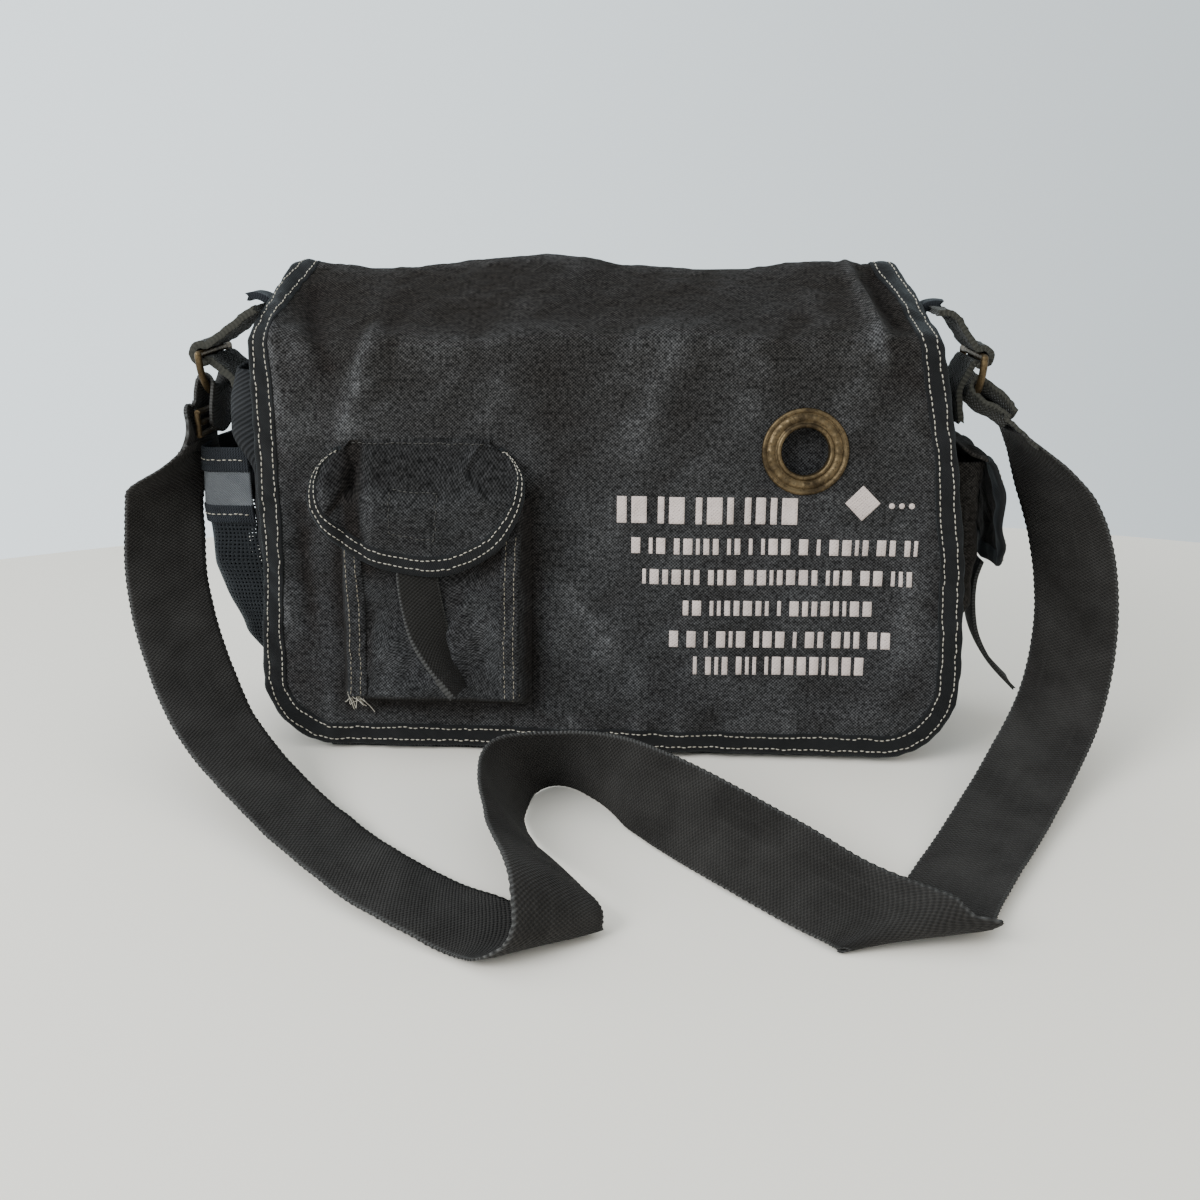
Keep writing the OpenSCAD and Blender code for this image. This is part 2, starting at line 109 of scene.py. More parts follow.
def along(points):
    steps = np.linalg.norm(np.diff(points, axis=0), axis=1)
    return np.concatenate([[0], np.cumsum(steps)])


class Line:
    """A line through a few points with its corners rounded, by distance along it."""

    def __init__(self, points, rounding):
        points = np.array(points, float)
        s = along(points)
        self.length = s[-1]
        fine = np.arange(-4 * rounding, self.length + 4 * rounding, rounding / 12)
        raw = self._straight(fine, s, points)
        kernel = np.exp(-0.5 * (np.arange(-36, 37) / 12.0) ** 2)
        kernel /= kernel.sum()
        self.s = fine[36:-36]
        self.p = np.stack([np.convolve(raw[:, k], kernel, "valid") for k in range(raw.shape[1])], 1)

    @staticmethod
    def _straight(x, s, p):
        out = np.stack([np.interp(x, s, p[:, k]) for k in range(p.shape[1])], 1)
        a, b = unit(p[0] - p[1]), unit(p[-1] - p[-2])
        out += np.maximum(-x, 0)[:, None] * a + np.maximum(x - s[-1], 0)[:, None] * b
        return out

    def at(self, x):
        x = np.asarray(x, float)
        out = self._straight(x.ravel() - self.s[0], self.s - self.s[0], self.p)
        return out.reshape(*x.shape, self.p.shape[1])


def catmull(points, steps):
    """Points along a smooth line through the given ones."""
    p = np.array(points, float)
    n = len(p)
    out = []
    for k in range((n - 1) * steps + 1):
        s = k / steps
        i = min(int(s), n - 2)
        t = s - i
        a, b, c, d = p[max(i - 1, 0)], p[i], p[i + 1], p[min(i + 2, n - 1)]
        out.append(
            0.5 * (
                2 * b + (c - a) * t + (2 * a - 5 * b + 4 * c - d) * t * t + (3 * b - a - 3 * c + d) * t**3
            )
        )
    return np.array(out)


def respace(points, step):
    s = along(points)
    x = np.linspace(0, s[-1], max(2, int(round(s[-1] / step)) + 1))
    return np.stack([np.interp(x, s, points[:, k]) for k in range(points.shape[1])], 1)


# ---- mesh helpers ----


def mesh_object(name, verts, faces, uv=None, wear_and_shade=None):
    """One object from quads, with a map in metres for the weave and a value per point for wear, above zero, and
    painted shade, below zero.
    """
    verts, faces = np.asarray(verts, np.float32), np.asarray(faces, np.int32)
    me = bpy.data.meshes.new(name)
    me.vertices.add(len(verts))
    me.vertices.foreach_set("co", verts.ravel())
    me.loops.add(faces.size)
    me.loops.foreach_set("vertex_index", faces.ravel())
    me.polygons.add(len(faces))
    me.polygons.foreach_set("loop_start", np.arange(0, faces.size, faces.shape[1], dtype=np.int32))
    me.update(calc_edges=True)
    me.validate()
    if uv is not None:
        layer = me.uv_layers.new(name="cloth")
        layer.data.foreach_set("uv", np.asarray(uv, np.float32)[faces.ravel()].ravel())
    if wear_and_shade is not None:
        a = me.attributes.new("wear_and_shade", "FLOAT", "POINT")
        a.data.foreach_set("value", np.asarray(wear_and_shade, np.float32).ravel())
    me.shade_smooth()
    o = bpy.data.objects.new(name, me)
    bpy.context.scene.collection.objects.link(o)
    return o


def grid_faces(rows, cols, loop_rows=False, loop_cols=False, start=0):
    i = np.arange(rows if loop_rows else rows - 1)
    j = np.arange(cols if loop_cols else cols - 1)
    i, j = np.meshgrid(i, j, indexing="ij")
    i2, j2 = (i + 1) % rows, (j + 1) % cols
    q = np.stack([i * cols + j, i * cols + j2, i2 * cols + j2, i2 * cols + j], -1).reshape(-1, 4)
    return q + start


def grid_normals(g, loop_cols=False):
    if loop_cols:
        dj = np.roll(g, -1, 1) - np.roll(g, 1, 1)
    else:
        dj = np.gradient(g, axis=1)
    di = np.gradient(g, axis=0)
    return unit(np.cross(dj, di))


def shell_parts(grid, thick, uv, wear_and_shade=None, normals=None, loop_cols=False):
    """A closed sheet: its outer side is the grid, and its inner side lies thick behind it."""
    rows, cols = grid.shape[:2]
    n = grid_normals(grid, loop_cols) if normals is None else normals
    thick = np.broadcast_to(np.asarray(thick, float), (rows, cols))[..., None]
    back = grid - n * thick
    middle = grid - n * thick / 2
    verts = [grid.reshape(-1, 3), back.reshape(-1, 3)]
    count = rows * cols
    faces = [
        grid_faces(rows, cols, False, loop_cols), grid_faces(rows, cols, False, loop_cols, count)[:, ::-1]
    ]
    ids = np.arange(count).reshape(rows, cols)
    if loop_cols:
        rings = [ids[0], ids[-1][::-1]]
    else:
        rings = [np.concatenate([ids[0, :-1], ids[:-1, -1], ids[-1, :0:-1], ids[:0:-1, 0]])]
    uvs, wears = [uv.reshape(-1, 2)] * 2, [np.zeros(count) if wear_and_shade is None else wear_and_shade.ravel()] * 2
    base = 2 * count
    for ring in rings:
        m = len(ring)
        flat = grid.reshape(-1, 3)[ring]
        nn = n.reshape(-1, 3)[ring]
        t = np.roll(flat, -1, 0) - np.roll(flat, 1, 0)
        side = unit(np.cross(t, nn))
        edge = middle.reshape(-1, 3)[ring] + side * thick.reshape(-1, 1)[ring] * 0.45
        verts.append(edge)
        uvs.append(uv.reshape(-1, 2)[ring])
        wears.append((np.zeros(count) if wear_and_shade is None else wear_and_shade.ravel())[ring])
        e = base + np.arange(m)
        e2 = np.roll(e, -1)
        r2 = np.roll(ring, -1)
        faces.append(np.stack([r2, ring, e, e2], 1))
        faces.append(np.stack([e2, e, ring + count, r2 + count], 1))
        base += m
    return np.concatenate(verts), np.concatenate(faces), np.concatenate(uvs), np.concatenate(wears)


def shell(name, grid, thick, uv, wear_and_shade=None, normals=None, loop_cols=False):
    v, f, u, w = shell_parts(grid, thick, uv, wear_and_shade, normals, loop_cols)
    return mesh_object(name, v, f, u, w)


def ribbon_grid(centre, across, half, columns, cup=0.0, slanted=False):
    """Rows of points across a strip that follows a line, with its normals. Slanted rows keep theirs."""
    centre, across = np.asarray(centre, float), unit(np.asarray(across, float))
    tangent = unit(np.gradient(centre, axis=0))
    if slanted:
        across = across / np.linalg.norm(np.cross(tangent, across), axis=1, keepdims=True)
    else:
        across = unit(across - tangent * (across * tangent).sum(1, keepdims=True))
    normal = unit(np.cross(tangent, across))
    half = np.broadcast_to(np.asarray(half, float), (len(centre),))
    a = np.linspace(-1, 1, columns)
    g = centre[:, None] + across[:, None] * (a[None, :, None] * half[:, None, None])
    g = g + normal[:, None] * (cup * (1 - a**2))[None, :, None]
    s = along(centre)
    uv = np.stack(
        [
            np.broadcast_to(a * half.max() + half.max(), g.shape[:2]),
            np.broadcast_to(s[:, None], g.shape[:2]),
        ],
        -1,
    )
    return g, uv, np.broadcast_to(normal[:, None], g.shape)


def ribbon(name, centre, across, half, thick, columns=9, cup=0.0, fuzz=0.0, seed=1):
    g, uv, n = ribbon_grid(centre, across, half, columns, cup)
    if fuzz:
        g = fuzzed(g, uv, n, fuzz, 0.006, seed)
    return shell(name, g + n * thick / 2, thick, uv, normals=n)


def fuzzed(g, uv, n, fuzz, scale, seed):
    """A strip's points, roughened along its normals."""
    return g + n * (fuzz * wander(uv[..., 0], uv[..., 1], scale, seed, 3, 0.7))[..., None]


class Group:
    """Many small closed shapes that become one object."""

    def __init__(self):
        self.v, self.f, self.u, self.n = [], [], [], 0

    def add(self, verts, faces, uv=None):
        self.v.append(np.asarray(verts, float))
        self.f.append(np.asarray(faces) + self.n)
        self.u.append(np.zeros((len(verts), 2)) if uv is None else uv)
        self.n += len(verts)

    def build(self, name):
        return mesh_object(name, np.concatenate(self.v), np.concatenate(self.f), np.concatenate(self.u))


STITCH_PITCH = 3.5 * MM
STITCH_LENGTH = 2.6 * MM
STITCH_R = 0.32 * MM


def add_stitches(
    group, points, normals, pitch=STITCH_PITCH, length=STITCH_LENGTH, r=STITCH_R, wobble=0.15 * MM
):
    """A row of stitches along a line on a surface: short threads that dip into the cloth at their ends."""
    s = along(points)
    rng = np.random.default_rng(len(points) * 7 + group.n)
    sides, rings = 6, 5
    ring = np.arange(sides) * TAU / sides
    x = np.linspace(-0.5, 0.5, rings)
    size = np.array([0.35, 0.9, 1.0, 0.9, 0.35])
    faces = [grid_faces(rings, sides, False, True)]
    cap0 = [[0, 1, 2, 3], [0, 3, 4, 5]]
    last = (rings - 1) * sides
    cap1 = [[last + 3, last + 2, last + 1, last], [last + 5, last + 4, last + 3, last]]
    faces = np.concatenate([faces[0][:, ::-1], np.array(cap0), np.array(cap1)])
    for count in range(int(s[-1] / pitch)):
        at = (count + 0.5) * pitch + rng.normal(0, 0.06) * pitch
        places = (at, at - length / 2, at + length / 2)
        c, c0, c1 = (np.array([np.interp(k, s, points[:, i]) for i in range(3)]) for k in places)
        n = unit(np.array([np.interp(at, s, normals[:, i]) for i in range(3)]))
        t = unit(c1 - c0)
        b = np.cross(n, t)
        c = c + b * rng.normal(0, 1) * wobble
        line = c + np.outer(x * length, t) + np.outer((0.75 - 4.2 * x**2) * r, n)
        p = line[:, None] + size[:, None, None] * r * (
            np.cos(ring)[None, :, None] * b * 1.15 + np.sin(ring)[None, :, None] * n
        )
        group.add(p.reshape(-1, 3), faces)


# ---- materials ----


class Paint:
    """A Principled material with short calls for its nodes."""

    def __init__(self, name, roughness=0.9, metallic=0.0, specular=0.25, sheen=0.0, sheen_tint=(1, 1, 1)):
        self.mat = bpy.data.materials.new(name)
        self.mat.use_nodes = True
        self.tree = self.mat.node_tree
        self.shader = self.tree.nodes["Principled BSDF"]
        self.set("Roughness", roughness)
        self.set("Metallic", metallic)
        self.set("Specular IOR Level", specular)
        self.set("Sheen Weight", sheen)
        self.set("Sheen Roughness", 0.4)
        self.set("Sheen Tint", (*sheen_tint, 1))

    def set(self, socket, value):
        if hasattr(value, "is_output"):
            self.tree.links.new(value, self.shader.inputs[socket])
        else:
            self.shader.inputs[socket].default_value = value

    def node(self, kind, out=0, settings=None, **inputs):
        n = self.tree.nodes.new("ShaderNode" + kind)
        for k, v in (settings or {}).items():
            setattr(n, k, v)
        for k, v in inputs.items():
            socket = (
                n.inputs[int(k[1:])] if k[0] == "i" and k[1:].isdigit() else n.inputs[k.replace("_", " ")]
            )
            if hasattr(v, "is_output"):
                self.tree.links.new(v, socket)
            else:
                socket.default_value = v
        return n.outputs[out]

    def math(self, op, a, b=0.0, c=0.0):
        return self.node("Math", settings={"operation": op}, i0=a, i1=b, i2=c)

    def cloth(self):
        """The u and v of the cloth's own map, in metres."""
        uv = self.node("UVMap", settings={"uv_map": "cloth"})
        n = self.tree.nodes.new("ShaderNodeSeparateXYZ")
        self.tree.links.new(uv, n.inputs[0])
        return uv, n.outputs[0], n.outputs[1]

    def waves(self, x, pitch, phase=0.0):
        return self.math("SINE", self.math("MULTIPLY_ADD", x, TAU / pitch, phase))

    def noise(self, vector, scale, detail=4.0, roughness=0.6, out=0):
        return self.node("TexNoise", out, Vector=vector, Scale=scale, Detail=detail, Roughness=roughness)

    def range(self, x, lo, hi, to_lo=0.0, to_hi=1.0):
        return self.node("MapRange", Value=x, From_Min=lo, From_Max=hi, To_Min=to_lo, To_Max=to_hi)

    def mix(self, factor, a, b):
        n = self.tree.nodes.new("ShaderNodeMix")
        n.data_type = "RGBA"
        for socket, value in ((n.inputs[0], factor), (n.inputs[6], a), (n.inputs[7], b)):
            if hasattr(value, "is_output"):
                self.tree.links.new(value, socket)
            else:
                socket.default_value = (*value, 1) if isinstance(value, tuple) else value
        return n.outputs[2]

    def toned(self, colour, value):
        return self.node("HueSaturation", Color=colour, Value=value)

    def threads(self, amount, base, dim, lit):
        """The base colour, dimmed between the threads and lit on them."""
        self.set("Base Color", self.mix(amount, self.toned(base, dim), self.toned(base, lit)))

    def bump(self, height, distance, strength=1.0):
        self.set("Normal", self.node("Bump", Height=height, Distance=distance, Strength=strength))

    def attribute(self, name):
        return self.node("Attribute", 2, {"attribute_name": name})


def weave_height(p, u, v, pitch_u, pitch_v):
    return p.math("MULTIPLY", p.waves(u, pitch_u), p.waves(v, pitch_v))


def canvas_paint(name, dark, light, worn, pitch=2.1 * MM, brown_and_top_shade=None):
    """Washed canvas: a plain weave with faded raised threads, in soft cloudy patches. Where the per-point value
    is above zero the canvas fades with wear; where it is below zero it gets painted shade, near black, in
    valleys, creases and next to or under other parts. Given a brown, the canvas turns darker and browner
    towards the top: a real brown tone together with painted shade on the top.
    """
    p = Paint(name, 0.95, specular=0.06, sheen=0.02)
    uv, u, v = p.cloth()
    weave = weave_height(p, u, v, pitch, pitch * 0.92)
    cloud = p.range(p.noise(uv, 16, 7, 0.72), 0.30, 0.72)
    blotch = p.range(p.noise(uv, 70, 6, 0.7), 0.36, 0.66)
    fleck = p.range(p.noise(uv, 430, 3, 0.7), 0.36, 0.64, 0.4, 1.65)
    grain = p.noise(uv, 900, 2, 0.7)
    wear_and_shade = p.attribute("wear_and_shade")
    base = p.mix(cloud, dark, light)
    base = p.mix(p.math("MULTIPLY", blotch, 0.55), base, light)
    # Towards the top the canvas turns darker and browner: a real brown tone together with painted shade on the
    # top.
    if brown_and_top_shade:
        high = p.range(v, 0.15, 0.27)
        brown_and_shade_mask = p.math("MULTIPLY", high, p.range(p.noise(uv, 9, 3, 0.5), 0.3, 0.55, 0.5, 1.0))
        base = p.mix(p.math("MULTIPLY", brown_and_shade_mask, 0.9), base, brown_and_top_shade)
    # Painted shade: below zero the per-point value darkens the canvas towards near black, in valleys, creases
    # and next to or under other parts.
    painted_shade = p.range(wear_and_shade, -0.05, -1.0, 0.0, 0.85)
    base = p.mix(painted_shade, base, (0.012, 0.010, 0.009))
    faded = p.math(
        "MULTIPLY", p.math("MAXIMUM", wear_and_shade, 0.0), p.range(p.noise(uv, 60, 6, 0.7), 0.35, 0.6, 0.1, 1.0)
    )
    base = p.mix(faded, base, worn)
    thread = p.range(p.math("MULTIPLY", weave, p.range(grain, 0.35, 0.65, 0.4, 1.6)), -1.0, 1.2, 0.0, 0.75)
    p.threads(thread, p.toned(base, fleck), 0.22, 2.5)
    height = p.math("ADD", p.math("MULTIPLY", weave, 0.5), p.math("MULTIPLY", grain, 0.9))
    p.bump(height, 0.35 * MM, 0.8)
    return p.mat


def twill_paint(name, dark, light, pitch=2.4 * MM):
    """Steep diagonal ribs."""
    p = Paint(name, 0.92, specular=0.1, sheen=0.02)
    uv, u, v = p.cloth()
    diagonal = p.math("ADD", u, p.math("MULTIPLY", v, 0.8))
    rib = p.waves(diagonal, pitch)
    grain = p.noise(uv, 1100, 2, 0.7)
    cloud = p.range(p.noise(uv, 26, 4, 0.6), 0.35, 0.65)
    base = p.mix(cloud, dark, light)
    t = p.range(p.math("MULTIPLY", rib, p.range(grain, 0.35, 0.65, 0.5, 1.4)), -1.0, 1.2, 0.0, 0.8)
    p.threads(t, base, 0.6, 1.5)
    p.bump(p.math("ADD", rib, grain), 0.3 * MM, 0.8)
    return p.mat


def tape_paint(name, colour, pitch=1.3 * MM, contrast=0.5, sheen=0.1):
    """Fine ribbed binding tape."""
    p = Paint(name, 0.85, specular=0.2, sheen=sheen, sheen_tint=(0.7, 0.8, 0.85))
    uv, u, v = p.cloth()
    rib = p.waves(p.math("ADD", u, v), pitch)
    grain = p.noise(uv, 700, 2, 0.7)
    base = p.mix(p.range(p.noise(uv, 40, 3), 0.35, 0.7), colour, tuple(c * 1.7 for c in colour))
    lit = p.toned(base, 1.0 + contrast)
    p.set("Base Color", p.mix(p.range(p.math("MULTIPLY", rib, grain), -0.6, 0.6), base, lit))
    p.bump(p.math("ADD", rib, grain), 0.2 * MM, 0.7)
    return p.mat


def webbing_paint(
    name, dark, light, width, edge=(0.075, 0.073, 0.07), pitch_u=1.55 * MM, pitch_v=2.1 * MM, sheen=0.03
):
    """Heavy webbing: bumpy crossing yarns, long faint creases and pale worn selvedges."""
    p = Paint(name, 0.85, specular=0.15, sheen=sheen)
    uv, u, v = p.cloth()
    shift = p.math("MULTIPLY", p.math("SIGN", p.waves(u, 2 * pitch_u)), math.pi / 2)
    yarn = p.math(
        "MULTIPLY", p.math("ABSOLUTE", p.waves(u, 2 * pitch_u)),
        p.math("SINE", p.math("ADD", p.math("MULTIPLY", v, TAU / pitch_v), shift)),
    )
    grain = p.noise(uv, 800, 2, 0.7)
    base = p.mix(p.range(p.noise(uv, 22, 4, 0.6), 0.35, 0.68), dark, light)
    crease = p.math(
        "MULTIPLY", p.range(p.waves(u, width / 5.3, 1.0), 0.6, 1.0), p.range(p.noise(uv, 16, 3), 0.45, 0.65)
    )
    base = p.mix(p.math("MULTIPLY", crease, 0.35), base, light)
    off = p.math("ABSOLUTE", p.math("SUBTRACT", u, width / 2))
    rim = p.range(off, width / 2 - 1.5 * MM, width / 2 - 0.3 * MM)
    rim = p.math("MULTIPLY", rim, p.range(p.waves(v, pitch_v), -0.6, 0.5, 0.35, 1.0))
    base = p.mix(p.math("MULTIPLY", rim, 0.85), base, edge)
    t = p.range(p.math("MULTIPLY", yarn, p.range(grain, 0.35, 0.65, 0.6, 1.4)), -1.0, 1.1)
    p.threads(t, base, 0.55, 1.5)
    p.bump(p.math("ADD", yarn, p.math("MULTIPLY", grain, 0.6)), 0.5 * MM, 0.9)
    return p.mat


def metal_paint(name, deep, bright, tarnish, roughness=0.38):
    """Old metal: bright where it rubs, brown and dull where it doesn't."""
    p = Paint(name, roughness, metallic=0.9, specular=0.5)
    place = p.node("TexCoord", 3)
    cloud = p.noise(place, 90, 5, 0.65)
    speck = p.noise(place, 700, 3, 0.7)
    base = p.mix(p.range(cloud, 0.35, 0.65), deep, bright)
    base = p.mix(p.range(speck, 0.52, 0.72, 0.0, 0.8), base, tarnish)
    p.set("Base Color", base)
    p.set("Roughness", p.range(cloud, 0.3, 0.7, roughness + 0.18, roughness - 0.06))
    p.bump(speck, 0.12 * MM, 0.5)
    return p.mat


def thread_paint(name, pale, shade):
    p = Paint(name, 0.75, specular=0.25)
    place = p.node("TexCoord", 3)
    p.set("Base Color", p.mix(p.range(p.noise(place, 420, 3, 0.7), 0.35, 0.65), pale, shade))
    p.bump(p.noise(place, 2600, 2, 0.6), 0.1 * MM, 0.6)
    return p.mat


def print_paint(name, ink, cloth):
    """Ink worn thin on the tops of the weave."""
    p = Paint(name, 0.85, specular=0.2)
    uv, u, v = p.cloth()
    weave = weave_height(p, u, v, 2.3 * MM, 2.1 * MM)
    speck = p.noise(uv, 1500, 2, 0.7)
    gone = p.range(p.math("ADD", speck, p.math("MULTIPLY", weave, 0.1)), 0.58, 0.72, 0.0, 0.75)
    tone = p.mix(p.range(p.noise(uv, 60, 3), 0.35, 0.65), ink, tuple(c * 0.82 for c in ink))
    p.set("Base Color", p.mix(gone, tone, cloth))
    p.bump(p.math("ADD", weave, speck), 0.2 * MM, 0.6)
    return p.mat


CANVAS = canvas_paint(
    "canvas", (0.0185, 0.0175, 0.0170), (0.034, 0.0335, 0.0342), (0.064, 0.063, 0.064),
    brown_and_top_shade=(0.0135, 0.0115, 0.0098),
)
POCKET_CANVAS = canvas_paint(
    "pocket_canvas", (0.016, 0.0153, 0.0150), (0.031, 0.0308, 0.0318), (0.055, 0.0545, 0.056)
)
LID_CANVAS = canvas_paint(
    "lid_canvas", (0.0105, 0.0098, 0.0095), (0.021, 0.0205, 0.0208), (0.042, 0.0415, 0.042)
)
BROWN_CANVAS = canvas_paint(
    "brown_canvas", (0.009, 0.008, 0.0072), (0.021, 0.0188, 0.0168), (0.038, 0.035, 0.032)
)
TWILL = twill_paint("twill", (0.015, 0.0155, 0.0165), (0.030, 0.031, 0.033))
LINING = twill_paint("lining", (0.012, 0.012, 0.013), (0.02, 0.02, 0.022), 1.0 * MM)
TAPE = tape_paint("binding_tape", (0.0045, 0.0045, 0.0047))
RIB_TAPE = tape_paint("ribbed_tape", (0.009, 0.01, 0.012), 1.6 * MM)
NET = tape_paint("mesh", (0.006, 0.0066, 0.0078), 1.0 * MM, sheen=0.3)
GREY_BAND = twill_paint("grey_band", (0.105, 0.11, 0.118), (0.16, 0.168, 0.178), 1.1 * MM)
STRAP_W = 50 * MM
WEBBING = webbing_paint("webbing", (0.0125, 0.011, 0.0098), (0.0275, 0.0252, 0.0232), STRAP_W)
TAB_WEBBING = webbing_paint("tab_webbing", (0.0095, 0.0085, 0.0075), (0.020, 0.0185, 0.017), 25 * MM)
FUZZY = webbing_paint(
    "fuzzy_webbing", (0.018, 0.0175, 0.0145), (0.038, 0.0375, 0.032), 44 * MM, edge=(0.05, 0.048, 0.04),
    pitch_u=1.9 * MM, pitch_v=2.6 * MM, sheen=0.12,
)
BRASS = metal_paint("old_brass", (0.040, 0.027, 0.014), (0.15, 0.105, 0.054), (0.012, 0.008, 0.005), 0.42)
ZIP_BRASS = metal_paint("zip_metal", (0.10, 0.08, 0.05), (0.26, 0.21, 0.14), (0.03, 0.022, 0.015), 0.42)
THREAD = thread_paint("cream_thread", (0.50, 0.46, 0.39), (0.30, 0.27, 0.22))
TAN_THREAD = thread_paint("tan_thread", (0.27, 0.235, 0.18), (0.15, 0.13, 0.10))
DARK_THREAD = thread_paint("dark_thread", (0.06, 0.056, 0.05), (0.03, 0.028, 0.026))
INK = print_paint("print_ink", (0.60, 0.50, 0.46), (0.05, 0.052, 0.056))


def finish_piece(o, material, slot_name, body=None, stands_for=(), blend=None):
    o.data.materials.append(material)
    if blend:
        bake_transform(o)
    else:
        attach(o, body)
    if stands_for:
        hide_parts(*stands_for)
    return o


# ---- shoulder strap ----

# a point on its middle line, then the direction towards its outer edge, as in part.scad
STRAP_ROUTE = [
    ((-0.257, -0.012, 0.190), (0.05, -1, 0)),
    ((-0.265, -0.015, 0.176), (-0.3, -0.95, 0)),
    ((-0.278, -0.022, 0.158), (-0.65, -0.76, 0)),
    ((-0.279, -0.030, 0.132), (-0.75, -0.66, 0)),
    ((-0.273, -0.048, 0.102), (-0.75, -0.66, 0)),
    ((-0.254, -0.078, 0.068), (-0.72, -0.68, 0)),
    ((-0.220, -0.120, 0.036), (-0.66, -0.74, 0.1)),
    ((-0.164, -0.172, 0.014), (-0.58, -0.8, 0.12)),
    ((-0.104, -0.224, 0.006), (-0.5, -0.86, 0.08)),
    ((-0.055, -0.256, 0.004), (-0.4, -0.9, 0)),
    ((-0.020, -0.273, 0.005), (-0.85, -0.52, 0.04)),
    ((-0.010, -0.274, 0.014), (-0.8, -0.58, 0.25)),
    ((-0.012, -0.263, 0.025), (-0.8, -0.4, 0.45)),
    ((-0.022, -0.240, 0.027), (-0.75, -0.35, 0.6)),
    ((-0.036, -0.208, 0.024), (-0.62, -0.35, 0.72)),
    ((-0.047, -0.176, 0.024), (-0.5, -0.2, 0.85)),
    ((-0.050, -0.150, 0.024), (-0.4, -0.15, 0.9)),
    ((-0.042, -0.128, 0.023), (-0.2, -0.35, 0.92)),
    ((-0.022, -0.118, 0.023), (0, -0.42, 0.91)),
    ((0.004, -0.130, 0.023), (0.1, -0.15, 0.97)),
    ((0.028, -0.152, 0.022), (0.3, 0.25, 0.9)),
    ((0.054, -0.175, 0.020), (0.45, 0.45, 0.75)),
    ((0.094, -0.212, 0.016), (0.57, 0.58, 0.57)),
    ((0.126, -0.242, 0.013), (0.62, 0.65, 0.42)),
    ((0.148, -0.260, 0.013), (0.93, 0.25, 0.33)),
    ((0.158, -0.263, 0.008), (0.985, 0.08, 0.2)),
    ((0.168, -0.250, 0.005), (0.97, -0.12, 0.12)),
    ((0.186, -0.214, 0.004), (0.88, -0.45, 0.12)),
    ((0.216, -0.163, 0.007), (0.87, -0.5, 0.02)),
    ((0.250, -0.107, 0.017), (0.88, -0.46, -0.1)),
    ((0.280, -0.060, 0.040), (0.86, -0.48, -0.15)),
    ((0.294, -0.030, 0.076), (0.84, -0.54, -0.1)),
    ((0.295, -0.010, 0.115), (0.84, -0.54, 0)),
    ((0.286, 0.002, 0.150), (0.72, -0.69, 0)),
    ((0.270, 0.008, 0.178), (0.45, -0.9, 0)),
    ((0.250, 0.006, 0.199), (0.05, -1, 0)),
]
STRAP_T = 1.8 * MM


def build_strap():
    rows = catmull([[*p, *w] for p, w in STRAP_ROUTE], 24)
    s = along(rows[:, :3])
    x = np.arange(0, s[-1], 1.05 * MM)
    line = np.stack([np.interp(x, s, rows[:, k]) for k in range(6)], 1)
    centre, across = line[:, :3], line[:, 3:]
    half = STRAP_W / 2 + 0.3 * MM * np.sin(TAU * x / (2.1 * MM * 2))
    g, uv, n = ribbon_grid(centre, across, half, 17, slanted=True)
    a = np.linspace(-1, 1, 17)[None, :]
    cupping = 0.9 * MM * np.sin(TAU * x / 0.23)[:, None] * (1 - a**2)
    ripple = 0.35 * MM * wander(uv[..., 0], uv[..., 1], 0.05, 11, 2)
    g = g + n * (cupping + ripple)[..., None]
    low = 0.3 * MM + STRAP_T / 2
    g[..., 2] = np.maximum(g[..., 2], low)
    thin = STRAP_T * (1 - 0.45 * np.abs(a) ** 10)
    o = shell("strap", g + n * thin[..., None] / 2, np.broadcast_to(thin, g.shape[:2]), uv, normals=n)
    o.data.vertices.foreach_get("co", co := np.zeros(len(o.data.vertices) * 3, np.float32))
    co = co.reshape(-1, 3)
    co[:, 2] = np.maximum(co[:, 2], 0.25 * MM)
    o.data.vertices.foreach_set("co", co.ravel())
    finish_piece(o, WEBBING, "webbing", "bag", ["shoulder_strap"])
    path = centre[::4].copy()
    path[:, 2] = np.maximum(path[:, 2], low)
    tuple(path[0])
    float(along(path)[-1])


build_strap()


# ---- the case ----

FRONT_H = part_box("front_panel")[1].z
BACK_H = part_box("back_panel")[1].z
FRONT_LEAN = 36 * MM
CASE_CORNER = 52 * MM
SIDE_Z = [0.052, 0.060, 0.150, 0.220, 0.262, 0.285]
SIDE_LEFT = [-0.213, -0.216, -0.224, -0.224, -0.212, -0.204]
SIDE_RIGHT = [0.211, 0.212, 0.215, 0.208, 0.194, 0.186]
FRONT_Y0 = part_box("front_panel")[0].y
BACK_Y0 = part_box("back_panel")[1].y


def side_x(side, z, inset=0.0):
    """Where a side wall stands at height z, with its rounded lower corner."""
    table = SIDE_LEFT if side < 0 else SIDE_RIGHT
    r = CASE_CORNER - inset
    below = np.clip(CASE_CORNER - z, 0, r)
    low = table[0] - side * CASE_CORNER + side * np.sqrt(r**2 - below**2)
    return np.where(z < CASE_CORNER, low, np.interp(z, SIDE_Z, table) - side * inset)


def wall_rows(z0, count):
    """Heights of a wall's rows as parts of a height of 0.25 m, closer together round the lower corner."""
    turn = np.linspace(math.acos(1 - z0 / CASE_CORNER), math.pi / 2, 26)[:-1]
    z = np.concatenate([CASE_CORNER * (1 - np.cos(turn)), np.linspace(CASE_CORNER, 0.25, count - 25)])
    return z[:, None] / 0.25


def front_y(z):
    return FRONT_Y0 + FRONT_LEAN * z / FRONT_H


def back_y(z):
    return BACK_Y0 - 4 * MM * z / BACK_H


def mouth_z(y):
    return np.interp(y, [front_y(FRONT_H), back_y(BACK_H)], [FRONT_H, BACK_H])


